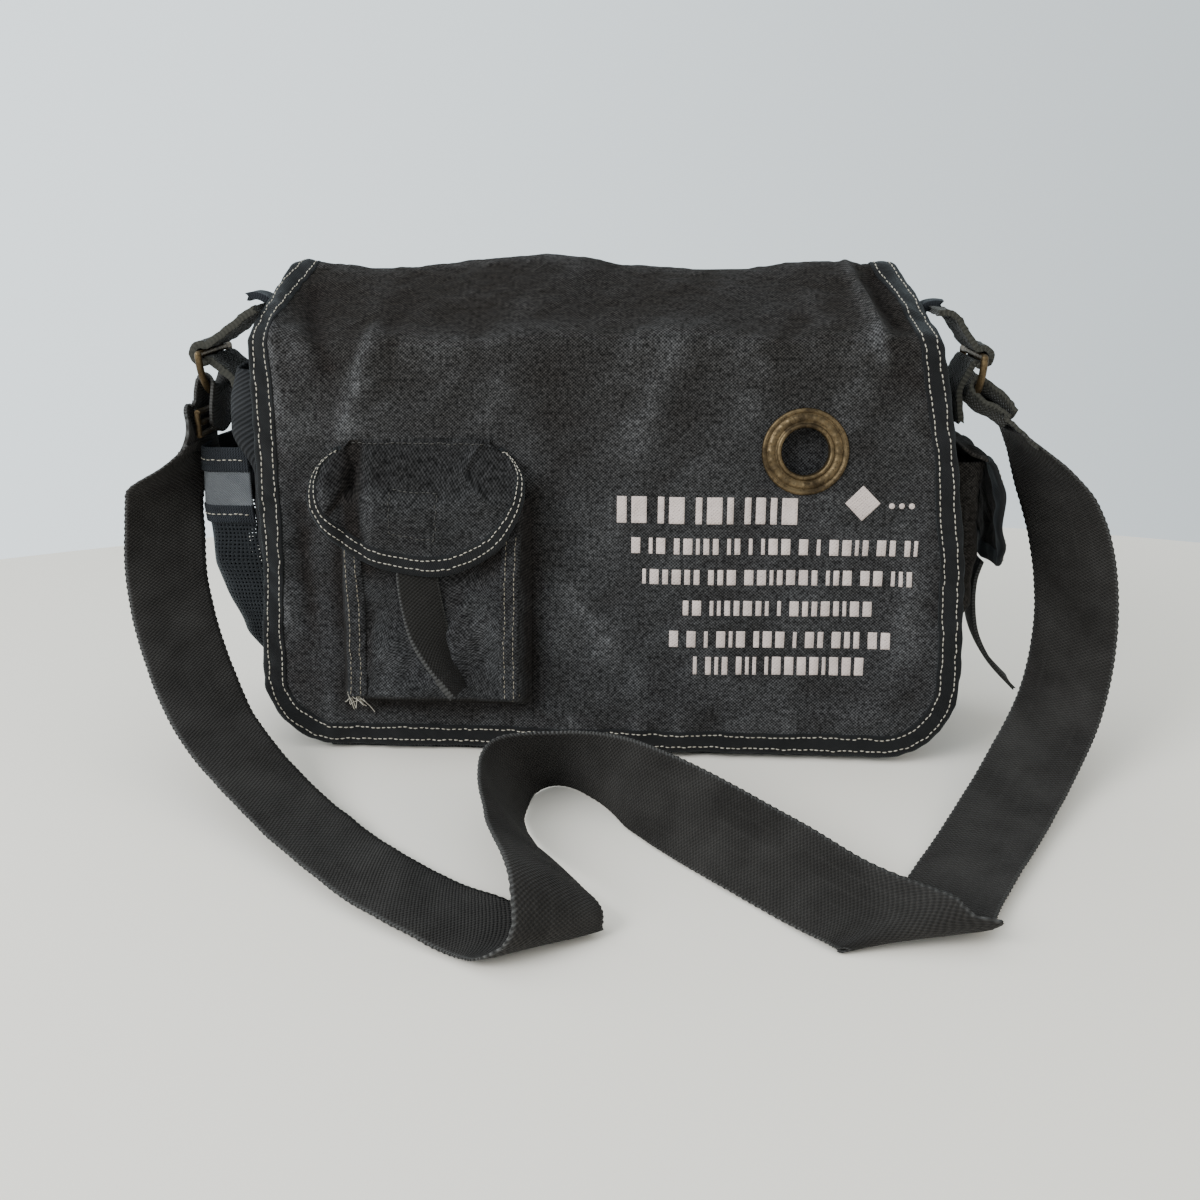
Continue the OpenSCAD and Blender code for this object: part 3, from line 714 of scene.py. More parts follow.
def side_wall(side, q, z, inset, wrap_front=34 * MM, wrap_back=24 * MM):
    """A point on a side wall: q runs from the front, round both rounded corners, to the back."""
    rf, rb = 20 * MM, 14 * MM
    yf, yb = front_y(z) + inset, back_y(z) - inset
    x = side_x(side, z, inset)
    turn = math.pi / 2
    a, b, c, d = wrap_front - rf, rf * turn, yb - yf - rf - rb, rb * turn
    e = wrap_back - rb
    s = q * (a + b + c + d + e)
    px = np.where(s < a, wrap_front - s, 0.0)
    py = yf + 0 * s
    ang = np.clip((s - a) / rf, 0, turn)
    in_b = (s >= a) & (s < a + b)
    px = np.where(in_b, rf - rf * np.sin(ang), px)
    py = np.where(in_b, yf + rf - rf * np.cos(ang), py)
    in_c = (s >= a + b) & (s < a + b + c)
    py = np.where(in_c, yf + rf + (s - a - b), py)
    ang = np.clip((s - a - b - c) / rb, 0, turn)
    in_d = (s >= a + b + c) & (s < a + b + c + d)
    px = np.where(in_d, rb - rb * np.cos(ang), px)
    py = np.where(in_d, yb - rb + rb * np.sin(ang), py)
    in_e = s >= a + b + c + d
    px = np.where(in_e, rb + s - (a + b + c + d), px)
    py = np.where(in_e, yb, py)
    return np.stack([x - side * px, py, z + 0 * s], -1), s


def build_gusset(side):
    rows, cols = 130, 90
    q = np.linspace(0, 1, cols)[None, :]
    k = wall_rows(1.6 * MM, rows)
    z = np.broadcast_to(k * 0.25, (rows, cols))
    for _ in range(3):
        p, s = side_wall(side, q, z, 0.0)
        z = k * (mouth_z(p[..., 1]) - 3 * MM)
    p, s = side_wall(side, q, z, 0.0)
    dent = wander(s, z, 0.07, 21 + side, 3) * 1.1 * MM - 0.4 * MM
    pleat = 1.6 * MM * bell(z, 0.252, 0.012) * np.cos(s / 0.011)
    inward = np.zeros_like(p)
    inward[..., 0] = -side
    mid = smooth(0.1, 0.3, q) * (1 - smooth(0.75, 0.9, q))
    p = p + inward * ((np.maximum(-dent, -0.3 * MM) + pleat) * mid)[..., None]
    if side < 0:
        puff = 15 * MM * bell(s, 27 * MM, 7.5 * MM) * smooth(0.165, 0.2, z) * (1 - smooth(0.245, 0.268, z))
        p = p + np.array([-0.85, -0.52, 0]) * puff[..., None]
    uv = np.stack([s, z], -1)
    if side > 0:
        p, uv = p[:, ::-1], uv[:, ::-1]
    o = shell("gusset_left" if side < 0 else "gusset_right", p[:, ::-1], 2.0 * MM, uv[:, ::-1])
    finish_piece(o, TWILL, "twill", "bag", ["left_gusset" if side < 0 else "right_gusset"])


def build_panel(name, node, y_of, height, facing, x_margin, seed):
    rows, cols = 90, 120
    v = np.linspace(2 * MM, height, rows)[:, None]
    u = np.linspace(0, 1, cols)[None, :]
    xl, xr = side_x(-1, v) + x_margin, side_x(1, v) - x_margin
    x = xl + (xr - xl) * u
    z = np.broadcast_to(v, x.shape)
    edge = smooth(0, 0.06, u) * smooth(1, 0.94, u) * smooth(0, 0.02, v) * smooth(height, height - 0.02, v)
    dent = np.minimum(np.abs(wander(x, z, 0.13, seed, 4)) * 2.2, 1.2) * MM * edge
    y = y_of(z) - facing * (1.2 * MM + dent)
    g = np.stack([x, y, z], -1)
    uv = np.stack([x, z], -1)
    if facing > 0:
        g, uv = g[:, ::-1], uv[:, ::-1]
    o = shell(name, g, 1.8 * MM, uv, wear_and_shade=0.25 * edge * np.abs(wander(x, z, 0.05, seed + 1, 3)))
    finish_piece(o, CANVAS, "canvas", "bag", [node])


def build_base():
    rows, cols = 40, 120
    v = np.linspace(0, 1, rows)[:, None]
    u = np.linspace(0, 1, cols)[None, :]
    x0, x1 = (float(side_x(side, 1.6 * MM)) for side in (-1, 1))
    x = x0 + (x1 - x0) * u + 0 * v
    y = FRONT_Y0 + 1.5 * MM + (BACK_Y0 - FRONT_Y0 - 3 * MM) * v + 0 * u
    edge = smooth(0, 0.1, u) * smooth(1, 0.9, u) * smooth(0, 0.1, v) * smooth(1, 0.9, v)
    z = 2.6 * MM + 0 * x - 0.4 * MM * edge * np.abs(wander(x, y, 0.05, 31, 3))
    o = shell("bottom", np.stack([x, y, z], -1), 2.4 * MM, np.stack([x, y], -1))
    finish_piece(o, CANVAS, "canvas", "bag", ["base_panel"])


def case_ring(t, z, inset, r):
    """A rounded rectangle at height z; t runs 0 to 1 round it from the front's middle towards +X."""
    xl, xr = side_x(-1, z, inset), side_x(1, z, inset)
    yf, yb = front_y(z) + inset, back_y(z) - inset
    hx, hy = (xr - xl) / 2 - r, (yb - yf) / 2 - r
    arc_len = math.pi / 2 * r
    total = 4 * (hx + hy + arc_len)
    s = (t % 1.0) * total
    px, py = np.zeros_like(s), np.zeros_like(s)
    marks = [hx, arc_len, 2 * hy, arc_len, 2 * hx, arc_len, 2 * hy, arc_len, hx]
    start = 0.0
    for i, m in enumerate(marks):
        inside = (s >= start) & (s <= start + m + 1e-9)
        w = s - start
        if i == 0:
            a, b = w, -hy - r + 0 * w
        elif i == 2:
            a, b = hx + r + 0 * w, -hy + w
        elif i == 4:
            a, b = hx - w, hy + r + 0 * w
        elif i == 6:
            a, b = -hx - r + 0 * w, hy - w
        elif i == 8:
            a, b = -hx + w, -hy - r + 0 * w
        else:
            centre = [(hx, -hy), (hx, hy), (-hx, hy), (-hx, -hy)][(i - 1) // 2]
            ang = -math.pi / 2 + (i - 1) / 2 * math.pi / 2 + w / r
            a, b = centre[0] + r * np.cos(ang), centre[1] + r * np.sin(ang)
        px, py = np.where(inside, a, px), np.where(inside, b, py)
        start = start + m
    return np.stack([(xl + xr) / 2 + px, (yf + yb) / 2 + py, z + 0 * s], -1)


LINING_INSET = 4.6 * MM
LINING_CORNER = 16 * MM


def build_lining():
    cols = 260
    t = np.linspace(0, 1, cols, endpoint=False)[None, :]
    k = wall_rows(1.0 * MM, 90)
    z = np.broadcast_to(5 * MM + k * 0.24, (90, cols))
    for _ in range(3):
        p = case_ring(t, z, LINING_INSET, LINING_CORNER)
        z = 5 * MM + k * (mouth_z(p[..., 1]) - 13 * MM)
    p = case_ring(t, z, LINING_INSET, LINING_CORNER)
    middle = np.array([-0.005, 0.0, 0])
    inward = unit((middle - p) * [0.25, 1, 0])
    fold = np.abs(wander(p[..., 0] + p[..., 1], z, 0.05, 41, 3)) * 2.4 * MM
    p = p + inward * fold[..., None]
    floor_rows = []
    for shrink in (0.9, 0.7, 0.45, 0.2, 0.03):
        row = p[0].copy()
        row[:, :2] = middle[:2] + (row[:, :2] - middle[:2]) * shrink
        row[:, 2] = LINING_INSET
        floor_rows.insert(0, row)
    g = np.concatenate([np.array(floor_rows), p])
    uv = np.stack([np.broadcast_to(t * 1.0, g.shape[:2]), g[..., 2] + g[..., 1] * 0.3], -1)
    o = shell("inner_lining", g, 0.7 * MM, uv, loop_cols=True)
    finish_piece(o, LINING, "lining", "bag", ["lining"])


def build_inner_pocket():
    lo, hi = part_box("inner_pocket")
    rows, cols = 50, 90
    u, v = np.linspace(0, 1, cols)[None, :], np.linspace(0, 1, rows)[:, None]
    x = lo.x + (hi.x - lo.x) * u + 0 * v
    z = lo.z + (hi.z - 3 * MM - lo.z) * v + 0 * u
    edge = smooth(0, 0.06, u) * smooth(1, 0.94, u) * smooth(0, 0.1, v)
    y = hi.y - 1.6 * MM - (hi.y - lo.y - 2.2 * MM) * edge + 0.6 * MM * wander(x, z, 0.05, 51, 3) * edge
    y = y - 0.8 * MM * edge * v * bell(u, 0.5, 0.3)
    o = shell("slip_pocket", np.stack([x, y, z], -1), 0.8 * MM, np.stack([x, z], -1))
    finish_piece(o, LINING, "lining", "bag", ["inner_pocket"])


def build_zip():
    slope = unit(np.array([back_y(BACK_H) - front_y(FRONT_H), BACK_H - FRONT_H]))
    teeth_f, teeth_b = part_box("zip_teeth_front"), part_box("zip_teeth_back")
    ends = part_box("zip_tape_front")
    x = np.linspace(ends[0].x, ends[1].x, 200)
    up = np.array([0, -slope[1], slope[0]])
    for name, a, b, seed in (
        (
            "zip_tape_front", (front_y(FRONT_H) + 1.5 * MM, FRONT_H), (teeth_f[1].y, teeth_f[1].z - 1 * MM),
            61,
        ),
        (
            "zip_tape_back", (teeth_b[0].y, teeth_b[0].z + 1 * MM),
            (back_y(BACK_H) - 1.5 * MM, BACK_H - 1 * MM), 62,
        ),
    ):
        k = np.linspace(0, 1, 14)[:, None]
        yz = np.array(a) + (np.array(b) - np.array(a)) * k
        g = np.zeros((14, 200, 3))
        g[..., 0] = x
        g[..., 1:] = yz[:, None]
        loose = np.sin(math.pi * k) * (0.9 * MM * wander(x[None], k * 0.02, 0.09, seed, 3))
        g = g + up * loose[..., None] + up * 0.6 * MM
        o = shell(name + "_cloth", g, 1.2 * MM, np.stack([g[..., 0], 0 * g[..., 0] + k * 0.026], -1))
        finish_piece(o, TAPE, "binding_tape", "bag", [name])
    for name, path in (
        (
            "zip_end_left",
            [
                (-0.184, 0.0, 0.2615), (-0.200, 0.0, 0.2625), (-0.2085, 0.0, 0.2660),
                (-0.2145, 0.0, 0.2735), (-0.2215, 0, 0.2760), (-0.2275, 0, 0.2750),
            ],
        ),
        (
            "zip_end_right",
            [
                (0.168, 0.0, 0.2595), (0.184, 0.0, 0.2610), (0.190, 0.0, 0.2650), (0.1935, 0.0, 0.2705),
                (0.199, 0, 0.2722), (0.2045, 0, 0.2718),
            ],
        ),
    ):
        c = catmull(path, 10)
        c[:, 1] = 0.0175
        half = np.interp(np.linspace(0, 1, len(c)), [0, 0.5, 0.9, 1], [9.5, 9, 7.5, 6.5]) * MM
        o = ribbon(name + "_stub", c, np.tile([0, 1.0, 0], (len(c), 1)), half, 4.4 * MM, 9, 0.9 * MM)
        finish_piece(o, RIB_TAPE, "binding_tape", "bag", [name])
    for node in ("zip_teeth_front", "zip_teeth_back", "zip_slider", "zip_puller"):
        paint_node(node, ZIP_BRASS)


def paint_node(node, material):
    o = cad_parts[node]
    o.data.materials.clear()
    o.data.materials.append(material)


build_gusset(-1)
build_gusset(1)
build_panel("case_front", "front_panel", front_y, FRONT_H, -1, 28 * MM, 71)
build_panel("case_back", "back_panel", back_y, BACK_H, 1, 18 * MM, 72)
build_base()
build_lining()
build_inner_pocket()
build_zip()


# ---- main flap ----

HEM_V = -5 * MM
CREASE_V = 0.2465
RIDGE_V = 0.328
SEAM_V = 0.3435
FLAP_END_V = 0.364
FLAP_LINE = Line(
    [
        (-0.0637, 0.005), (-0.0285, 0.2545), (0.0415, 0.2968), (0.0545, 0.2905), (0.0572, 0.284),
        (0.0574, 0.262),
    ], 4.5 * MM
)
FLAP_T = 2.4 * MM
FLAP_BEND = ("bag", "flap", (0, 0.0573, 0.288), (0, 0.0465, 0.288))
EDGE_V = [-0.005, 0.062, 0.111, 0.172, 0.212, 0.245, 0.290, 0.328, 0.364]
EDGE_LEFT = [-0.213, -0.2135, -0.211, -0.2125, -0.2135, -0.2145, -0.209, -0.2005, -0.197]
EDGE_RIGHT = [0.217, 0.218, 0.217, 0.210, 0.204, 0.1975, 0.189, 0.177, 0.174]
CORNER = 45 * MM
RIDGE_RISE = (
    [-0.21, -0.180, -0.145, -0.110, -0.071, -0.007, 0.057, 0.110, 0.157, 0.18],
    np.array([0, -1.5, -4.0, -0.5, 0.8, 3.4, -2.4, -1.0, -3.2, -2.0]) * MM,
)
EYE = (0.120, 0.182)


def to_line(x, v, points):
    """Distance from a line through a few points, and how far along it, 0 to 1."""
    points = np.array(points, float)
    s = along(points)
    best, where = np.full(np.shape(x), 1e9), np.zeros(np.shape(x))
    for k in range(len(points) - 1):
        a, d = points[k], points[k + 1] - points[k]
        t = np.clip(((x - a[0]) * d[0] + (v - a[1]) * d[1]) / (d @ d), 0, 1)
        r = np.hypot(x - a[0] - t * d[0], v - a[1] - t * d[1])
        closer = r < best
        best = np.where(closer, r, best)
        where = np.where(closer, (s[k] + t * (s[k + 1] - s[k])) / s[-1], where)
    return best, where


def fold(x, v, points, width, rise):
    """A soft ridge, or a valley, that fades at its ends."""
    r, t = to_line(x, v, np.array(points, float) * MM)
    fade = np.sin(math.pi * np.clip(t, 0.02, 0.98)) ** 0.6
    return rise * MM * fade / (1 + (r / (width * MM)) ** 2) ** 1.5


FLAP_FOLDS = (
    ([(-204, 330), (-202, 285), (-198, 234), (-197, 190)], 5, 4.0),
    ([(-186, 306), (-180, 270), (-165, 222)], 7, -5.0),
    ([(-136, 268), (-146, 225), (-160, 184)], 7, 4.4),
    ([(-120, 290), (-127, 255), (-128, 215)], 8, -1.6),
    ([(-187, 152), (-186, 105), (-180, 58)], 7, -3.0),
    ([(-199, 160), (-200, 100), (-192, 50)], 5, 2.2),
    ([(146, 334), (154, 287), (166, 226)], 4.0, 6.0),
    ([(163, 330), (166, 285), (176, 250)], 6, -5.5),
    ([(118, 300), (128, 262), (126, 225)], 9, 1.6),
    ([(-26, 98), (0, 68), (26, 36)], 8, 1.9),
    ([(60, 265), (30, 225), (22, 190)], 11, 1.5),
    ([(-40, 262), (-30, 225), (-36, 180)], 11, -1.3),
    ([(178, 150), (186, 95), (180, 45)], 8, 1.6),
    ([(196, 190), (204, 130), (202, 70)], 7, -1.3),
    ([(-174, 42), (-172, -8)], 5, 1.5),
    ([(-158, 38), (-160, -8)], 5, -1.2),
    ([(20, 44), (24, -8)], 6, 1.5),
    ([(46, 34), (49, -8)], 6, 1.4),
    ([(78, 36), (80, -8)], 6, 1.3),
    ([(113, 40), (117, -8)], 6, 1.2),
    ([(-60, 30), (-56, -8)], 7, -1.0),
    ([(-20, 26), (-18, -8)], 6, 1.0),
)


def edge_left(v):
    v = np.asarray(v, float)
    d = np.clip(v - HEM_V, 0, CORNER)
    return np.interp(v, EDGE_V, EDGE_LEFT) + CORNER - np.sqrt(CORNER**2 - (CORNER - d) ** 2)


def edge_right(v):
    v = np.asarray(v, float)
    d = np.clip(v - HEM_V, 0, CORNER)
    return np.interp(v, EDGE_V, EDGE_RIGHT) - CORNER + np.sqrt(CORNER**2 - (CORNER - d) ** 2)


def flap_lift(x, v):
    """How far the cloth stands off its plain line, and the part of it whose ridges wear and whose valleys are
    darkened with painted shade.
    """
    h = 0
    for points, width, rise in FLAP_FOLDS:
        h = h + 1.25 * fold(x, v, points, width, rise)
    edge = np.minimum(
        np.minimum(x - np.interp(v, EDGE_V, EDGE_LEFT), np.interp(v, EDGE_V, EDGE_RIGHT) - x), v - HEM_V
    )
    pucker = (
        0.45 * MM * np.exp(-np.maximum(edge - 0.011, 0) / 0.012)
        * np.cos(TAU * (x + 0.7 * v) / 0.0127 + 2 * wander(x, v, 0.1, 5, 2))
    )
    fine = 0.7 * MM * wander(x, v, 0.055, 3, 4, 0.55) + pucker
    broad = 1.8 * MM * wander(x, v, 0.21, 4, 2)
    ridge = np.interp(x, *RIDGE_RISE) * bell(v, RIDGE_V, 0.03)
    crease = 1.2 * MM * bell(v, CREASE_V, 0.016) * (0.4 + 0.6 * wander(x, v * 0, 0.09, 8, 3))
    quiet = 1 - 0.97 * bell(np.hypot(x - EYE[0], v - EYE[1]), 0, 0.034) ** 0.8
    pocket = (
        0.7 * smooth(-0.18, -0.15, x) * (1 - smooth(-0.055, -0.03, x)) * (1 - smooth(0.175, 0.2, v))
        * smooth(0.01, 0.03, v)
    )
    held = 1 - pocket
    seam = 1 - smooth(RIDGE_V + 0.006, SEAM_V, v)
    high = h + fine + crease
    return (high * held + broad * held + ridge) * quiet * seam, high


def flap_at(x, v, w=0.0):
    """Points on the flap's outer side, or w metres off it."""
    x, v = np.broadcast_arrays(np.asarray(x, float), np.asarray(v, float))
    s = v - HEM_V
    yz = FLAP_LINE.at(s)
    d = unit(FLAP_LINE.at(s + 1e-3) - FLAP_LINE.at(s - 1e-3))
    lift, _ = flap_lift(x, v)
    h = (lift + w)[..., None]
    return np.concatenate([x[..., None], yz + np.stack([-d[..., 1], d[..., 0]], -1) * h], -1)


def flap_normal(x, v):
    e = 0.6 * MM
    a = flap_at(x + e, v) - flap_at(x - e, v)
    b = flap_at(x, v + e) - flap_at(x, v - e)
    return unit(np.cross(a, b))


def build_flap():
    turn = np.linspace(0, math.pi / 2, 22)[:-1]
    v = np.concatenate([HEM_V + CORNER * (1 - np.cos(turn)), np.linspace(HEM_V + CORNER, FLAP_END_V, 170)])
    u = np.linspace(0, 1, 236)
    xl, xr = edge_left(v)[:, None], edge_right(v)[:, None]
    x = xl + (xr - xl) * u[None]
    vv = np.broadcast_to(v[:, None], x.shape)
    g = flap_at(x, vv)
    _, high = flap_lift(x, vv)
    # Ridges fade with wear; valleys give values below zero, which become painted shade.
    wear_and_shade = np.clip(high / (3.2 * MM), -1, 1)
    wear_and_shade = np.where(wear_and_shade > 0, wear_and_shade * (1 - 0.65 * smooth(0.2, 0.27, vv)), wear_and_shade)
    # A painted shadow on the flap round the pocket's outline.
    pocket_shadow = smooth(0.012, 0.0, np.maximum(np.abs(x + 0.103) - 0.058, np.abs(vv - 0.088) - 0.066))
    wear_and_shade = wear_and_shade - 0.8 * pocket_shadow
    wear_and_shade = wear_and_shade + 0.2 * bell(vv, CREASE_V, 0.014) * (0.5 + 0.5 * wander(x, vv, 0.04, 9, 3))
    wear_and_shade = wear_and_shade + 0.3 * bell(vv, RIDGE_V, 0.010)
    uv = np.stack([x, vv], -1)
    o = shell("main_flap", g, FLAP_T, uv, np.clip(wear_and_shade, -1, 1), flap_normal(x, vv))
    cut_eye(o)
    finish_piece(o, CANVAS, "canvas", stands_for=["flap"], blend=FLAP_BEND)
    area = float(np.trapz((xr - xl)[:, 0], v))
    return o


def cut_eye(o):
    bpy.ops.mesh.primitive_cylinder_add(vertices=48, radius=16.6 * MM, depth=0.03)
    tool = bpy.context.object
    direction = flap_normal(np.array(EYE[0]), np.array(EYE[1]))
    tool.location = flap_at(np.array(EYE[0]), np.array(EYE[1]))
    tool.rotation_euler = (math.acos(float(direction[2])), 0, 0)
    bpy.context.view_layer.update()
    m = o.modifiers.new("eye", "BOOLEAN")
    m.operation, m.solver, m.object = "DIFFERENCE", "EXACT", tool
    bpy.context.view_layer.update()
    done = bpy.data.meshes.new_from_object(o.evaluated_get(bpy.context.evaluated_depsgraph_get()))
    o.modifiers.clear()
    o.data = done
    o.data.materials.clear()
    bpy.data.objects.remove(tool)


def outline_points(step=2.2 * MM):
    """The flap's edge, down the left, along the hem and up the right, with its inward direction."""
    down = np.linspace(FLAP_END_V - 1 * MM, HEM_V + CORNER, 140)
    turn = np.linspace(0, math.pi / 2, 30)[1:]
    left = np.stack([edge_left(down), down], 1)
    cl = np.array([np.interp(HEM_V + CORNER, EDGE_V, EDGE_LEFT) + CORNER, HEM_V + CORNER])
    cr = np.array([np.interp(HEM_V + CORNER, EDGE_V, EDGE_RIGHT) - CORNER, HEM_V + CORNER])
    a = cl + CORNER * np.stack([-np.cos(turn), -np.sin(turn)], 1)
    b = cr + CORNER * np.stack([np.sin(turn), -np.cos(turn)], 1)
    right = np.stack([edge_right(down[::-1]), down[::-1]], 1)
    hem = np.stack([np.linspace(cl[0], cr[0], 120)[1:], np.full(119, HEM_V)], 1)
    p = respace(np.concatenate([left, a, hem, b, right[1:]]), step)
    t = unit(np.gradient(p, axis=0))
    return p, np.stack([-t[:, 1], t[:, 0]], 1)


def edge_strip(name, place, section, lengths, material, slot_name, body=None, blend=None, stands_for=()):
    """Binding folded over an edge. place(d, w) gives the points d in from the edge and w off the cloth."""
    section = np.array(section, float) * MM
    g = np.stack([place(d, w) for d, w in section], 1)
    rows, cols = g.shape[:2]
    around = along(np.concatenate([section, section[:1]]))[:-1]
    uv = np.stack(np.broadcast_arrays(around[None, :], lengths[:, None]), -1)
    ends = []
    ids = np.arange(cols)
    half = cols // 2
    for base, flip in ((0, False), ((rows - 1) * cols, True)):
        for k in range(half - 1):
            q = [base + ids[k], base + ids[k + 1], base + ids[cols - 2 - k], base + ids[cols - 1 - k]]
            ends.append(q if flip else q[::-1])
    faces = np.concatenate([grid_faces(rows, cols, False, True)[:, ::-1], np.array(ends)])
    o = mesh_object(name, g.reshape(-1, 3), faces, uv.reshape(-1, 2))
    return finish_piece(o, material, slot_name, body, stands_for, blend)


def build_flap_binding():
    p, inward = outline_points()
    s = along(np.concatenate([p, 0 * p[:, :1]], 1))
    wobble = 0.35 * MM * wander(s, 0 * s, 0.05, 14, 3)

    def place(d, w):
        q = p + inward * (d + wobble * (d > 8 * MM))[:, None]
        base = flap_at(q[:, 0], q[:, 1])
        return base + flap_normal(q[:, 0], q[:, 1]) * w

    section = [
        (13, -0.6), (12.9, 0.5), (12.2, 1.0), (10.4, 0.75), (8, 1.15), (5, 1.2), (2.7, 0.8), (0.8, 0.95),
        (-0.7, 0.1), (-1.2, -1.2),
        (-0.7, -2.6), (0.8, -3.4), (2.7, -3.3), (5, -3.6), (8, -3.6), (10.4, -3.3), (12.2, -3.4),
        (12.9, -2.8), (13, -1.8), (13.05, -1.2),
    ]
    edge_strip(
        "flap_edge_tape", place, section, s, TAPE, "binding_tape", blend=FLAP_BEND,
        stands_for=["flap_binding"],
    )
    group = Group()
    for d, w in ((2.7, 0.8), (10.4, 0.75)):
        line = place(d * MM, w * MM)
        q = p + inward * d * MM
        add_stitches(group, line[8:-8], flap_normal(q[:, 0], q[:, 1])[8:-8])
    q = p + inward * 6 * MM
    add_stitches(group, place(6 * MM, -3.7 * MM)[8:-8], -flap_normal(q[:, 0], q[:, 1])[8:-8])
    finish_piece(group.build("flap_edge_stitches"), THREAD, "binding_tape", blend=FLAP_BEND)


# left and right end, bottom and top of each row of bars, in mm
PRINT_ROWS = (
    (17, 190, 119.5, 129), (24, 187, 101, 110), (49, 164, 82, 91), (41, 176, 62, 72), (56, 163, 45, 56)
)


def build_print():
    """Plain printed marks: blocks, short bars, a diamond and dots. They spell nothing."""
    group = Group()

    def patch(x0, x1, v0, v1, shape=None):
        nx, nv = max(3, int((x1 - x0) / (1.4 * MM))), max(3, int((v1 - v0) / (1.4 * MM)))
        a, b = np.linspace(-1, 1, nx)[None, :], np.linspace(-1, 1, nv)[:, None]
        a, b = np.broadcast_arrays(a, b)
        if shape == "round":
            a, b = a * np.sqrt(1 - b**2 / 2), b * np.sqrt(1 - a**2 / 2)
        if shape == "diamond":
            a, b = (a + b) / 2, (b - a) / 2
        x, v = (x0 + x1) / 2 + a * (x1 - x0) / 2, (v0 + v1) / 2 + b * (v1 - v0) / 2
        n = flap_normal(x, v)
        g = flap_at(x, v) + n * 0.22 * MM
        vv, f, u, _ = shell_parts(g, 0.3 * MM, np.stack([x, v], -1), None, n)
        group.add(vv, f, u)

    def row(x0, x1, v0, v1, bars, gap, seed):
        r = np.random.default_rng(seed)
        x = x0
        while x < x1 - bars[0]:
            w = min(r.choice(bars), x1 - x)
            patch(x, x + w, v0, v1)
            x += w + gap * r.choice([1, 1, 1, 2.2])

    row(8 * MM, 127 * MM, 138 * MM, 154 * MM, np.array([3.6, 5.6, 9.0]) * MM, 3.2 * MM, 1)
    patch(145 * MM, 166 * MM, 141 * MM, 162 * MM, "diamond")
    for x in (173, 179, 185):
        patch((x - 1.7) * MM, (x + 1.7) * MM, 148.3 * MM, 151.7 * MM, "round")
    for i, (x0, x1, v0, v1) in enumerate(PRINT_ROWS):
        row(x0 * MM, x1 * MM, v0 * MM, v1 * MM, np.array([2.0, 3.2, 5.2]) * MM, 2.5 * MM, 10 + i)
    finish_piece(group.build("flap_print_marks"), INK, "canvas", "flap")


def lathe(name, centre, axis, profile, steps=64, ticks=0):
    """A turned ring from a closed profile of (radius, height)."""
    profile = np.array(profile, float) * MM
    axis = unit(np.array(axis, float))
    a = unit(np.cross([1.0, 0, 0], axis)) if abs(axis[0]) < 0.9 else np.array([0, 1.0, 0])
    b = np.cross(axis, a)
    t = np.arange(steps) * TAU / steps
    r, h = profile[:, 0], profile[:, 1]
    height = np.broadcast_to(h[None, :], (steps, len(h))).copy()
    if ticks:
        k = np.where((np.abs(r - 20.2 * MM) < 1.9 * MM) & (h > 1.3 * MM))[0]
        height[:, k] += 0.32 * MM * (np.cos(ticks * t) > 0.55)[:, None]
    ring = np.cos(t)[:, None, None] * a + np.sin(t)[:, None, None] * b
    g = np.array(centre) + ring * r[None, :, None] + height[..., None] * axis
    faces = grid_faces(steps, len(profile), True, True)
    uv = np.zeros((steps * len(profile), 2))
    o = mesh_object(name, g.reshape(-1, 3), faces, uv)
    return o


def build_grommet():
    centre = flap_at(np.array(EYE[0]), np.array(EYE[1]))
    axis = flap_normal(np.array(EYE[0]), np.array(EYE[1]))
    profile = [
        (14.1, -3.6), (14.1, 1.4), (14.5, 2.7), (15.4, 3.3), (16.4, 3.1), (17.0, 2.2), (17.4, 1.5),
        (18.0, 1.5), (18.5, 1.9), (20.2, 2.05),
        (21.9, 1.9), (22.3, 1.3), (22.9, 1.25), (23.4, 1.9), (24.6, 2.3), (25.6, 1.8), (26.0, 0.9),
        (25.9, 0.0), (25.0, -0.1), (17.4, -0.1), (16.4, -0.5), (16.2, -3.6), (15.2, -4.1),
    ]
    o = lathe("eye_ring", centre, axis, profile[::-1], 192, 24)
    finish_piece(o, BRASS, "old_brass", "flap", ["grommet"])
    paint_node("grommet_washer", BRASS)


build_flap()
build_flap_binding()
build_print()
build_grommet()


# ---- pocket on the flap ----


FACE_Y, FACE_Z = -0.063, 0.010
FACE_SIN, FACE_COS = 0.1417, 0.9899
FINE_STITCH = {"pitch": 3.1 * MM, "length": 2.2 * MM, "r": 0.26 * MM}
FRAY_COUNT = 16


def on_face(x, v, w):
    """A point over the flap's leaning front: x across it, v up it and w off it."""
    y, z = FACE_Y + FACE_SIN * v - FACE_COS * w, FACE_Z + FACE_COS * v + FACE_SIN * w
    return np.stack(np.broadcast_arrays(x, y, z), -1)


POCKET_X0, POCKET_X1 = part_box("cargo_pocket")[0].x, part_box("cargo_pocket")[1].x
POCKET_V0, POCKET_V1 = 23 * MM, 152 * MM
POCKET_D = 17.5 * MM


def pocket_height(x, v):
    across = (
        smooth(POCKET_X0 - 1 * MM, POCKET_X0 + 7 * MM, x)
        * smooth(POCKET_X1 + 1 * MM, POCKET_X1 - 7 * MM, x)
    )
    low = smooth(POCKET_V0, POCKET_V0 + 8 * MM, v)
    lump = 1.6 * MM * wander(x, v, 0.055, 81, 3) - 1.2 * MM
    lump = (
        lump + fold(x, v, [(-120, 150), (-112, 95), (-104, 40)], 8, -1.4)
        + fold(x, v, [(-70, 90), (-62, 60), (-66, 36)], 7, 2.2)
    )
    lump = (
        lump + fold(x, v, [(-146, 120), (-141, 80), (-146, 40)], 5, -1.8)
        + fold(x, v, [(-84, 60), (-78, 40)], 5, -1.4)
    )
    return across**0.7 * low * (POCKET_D + lump)


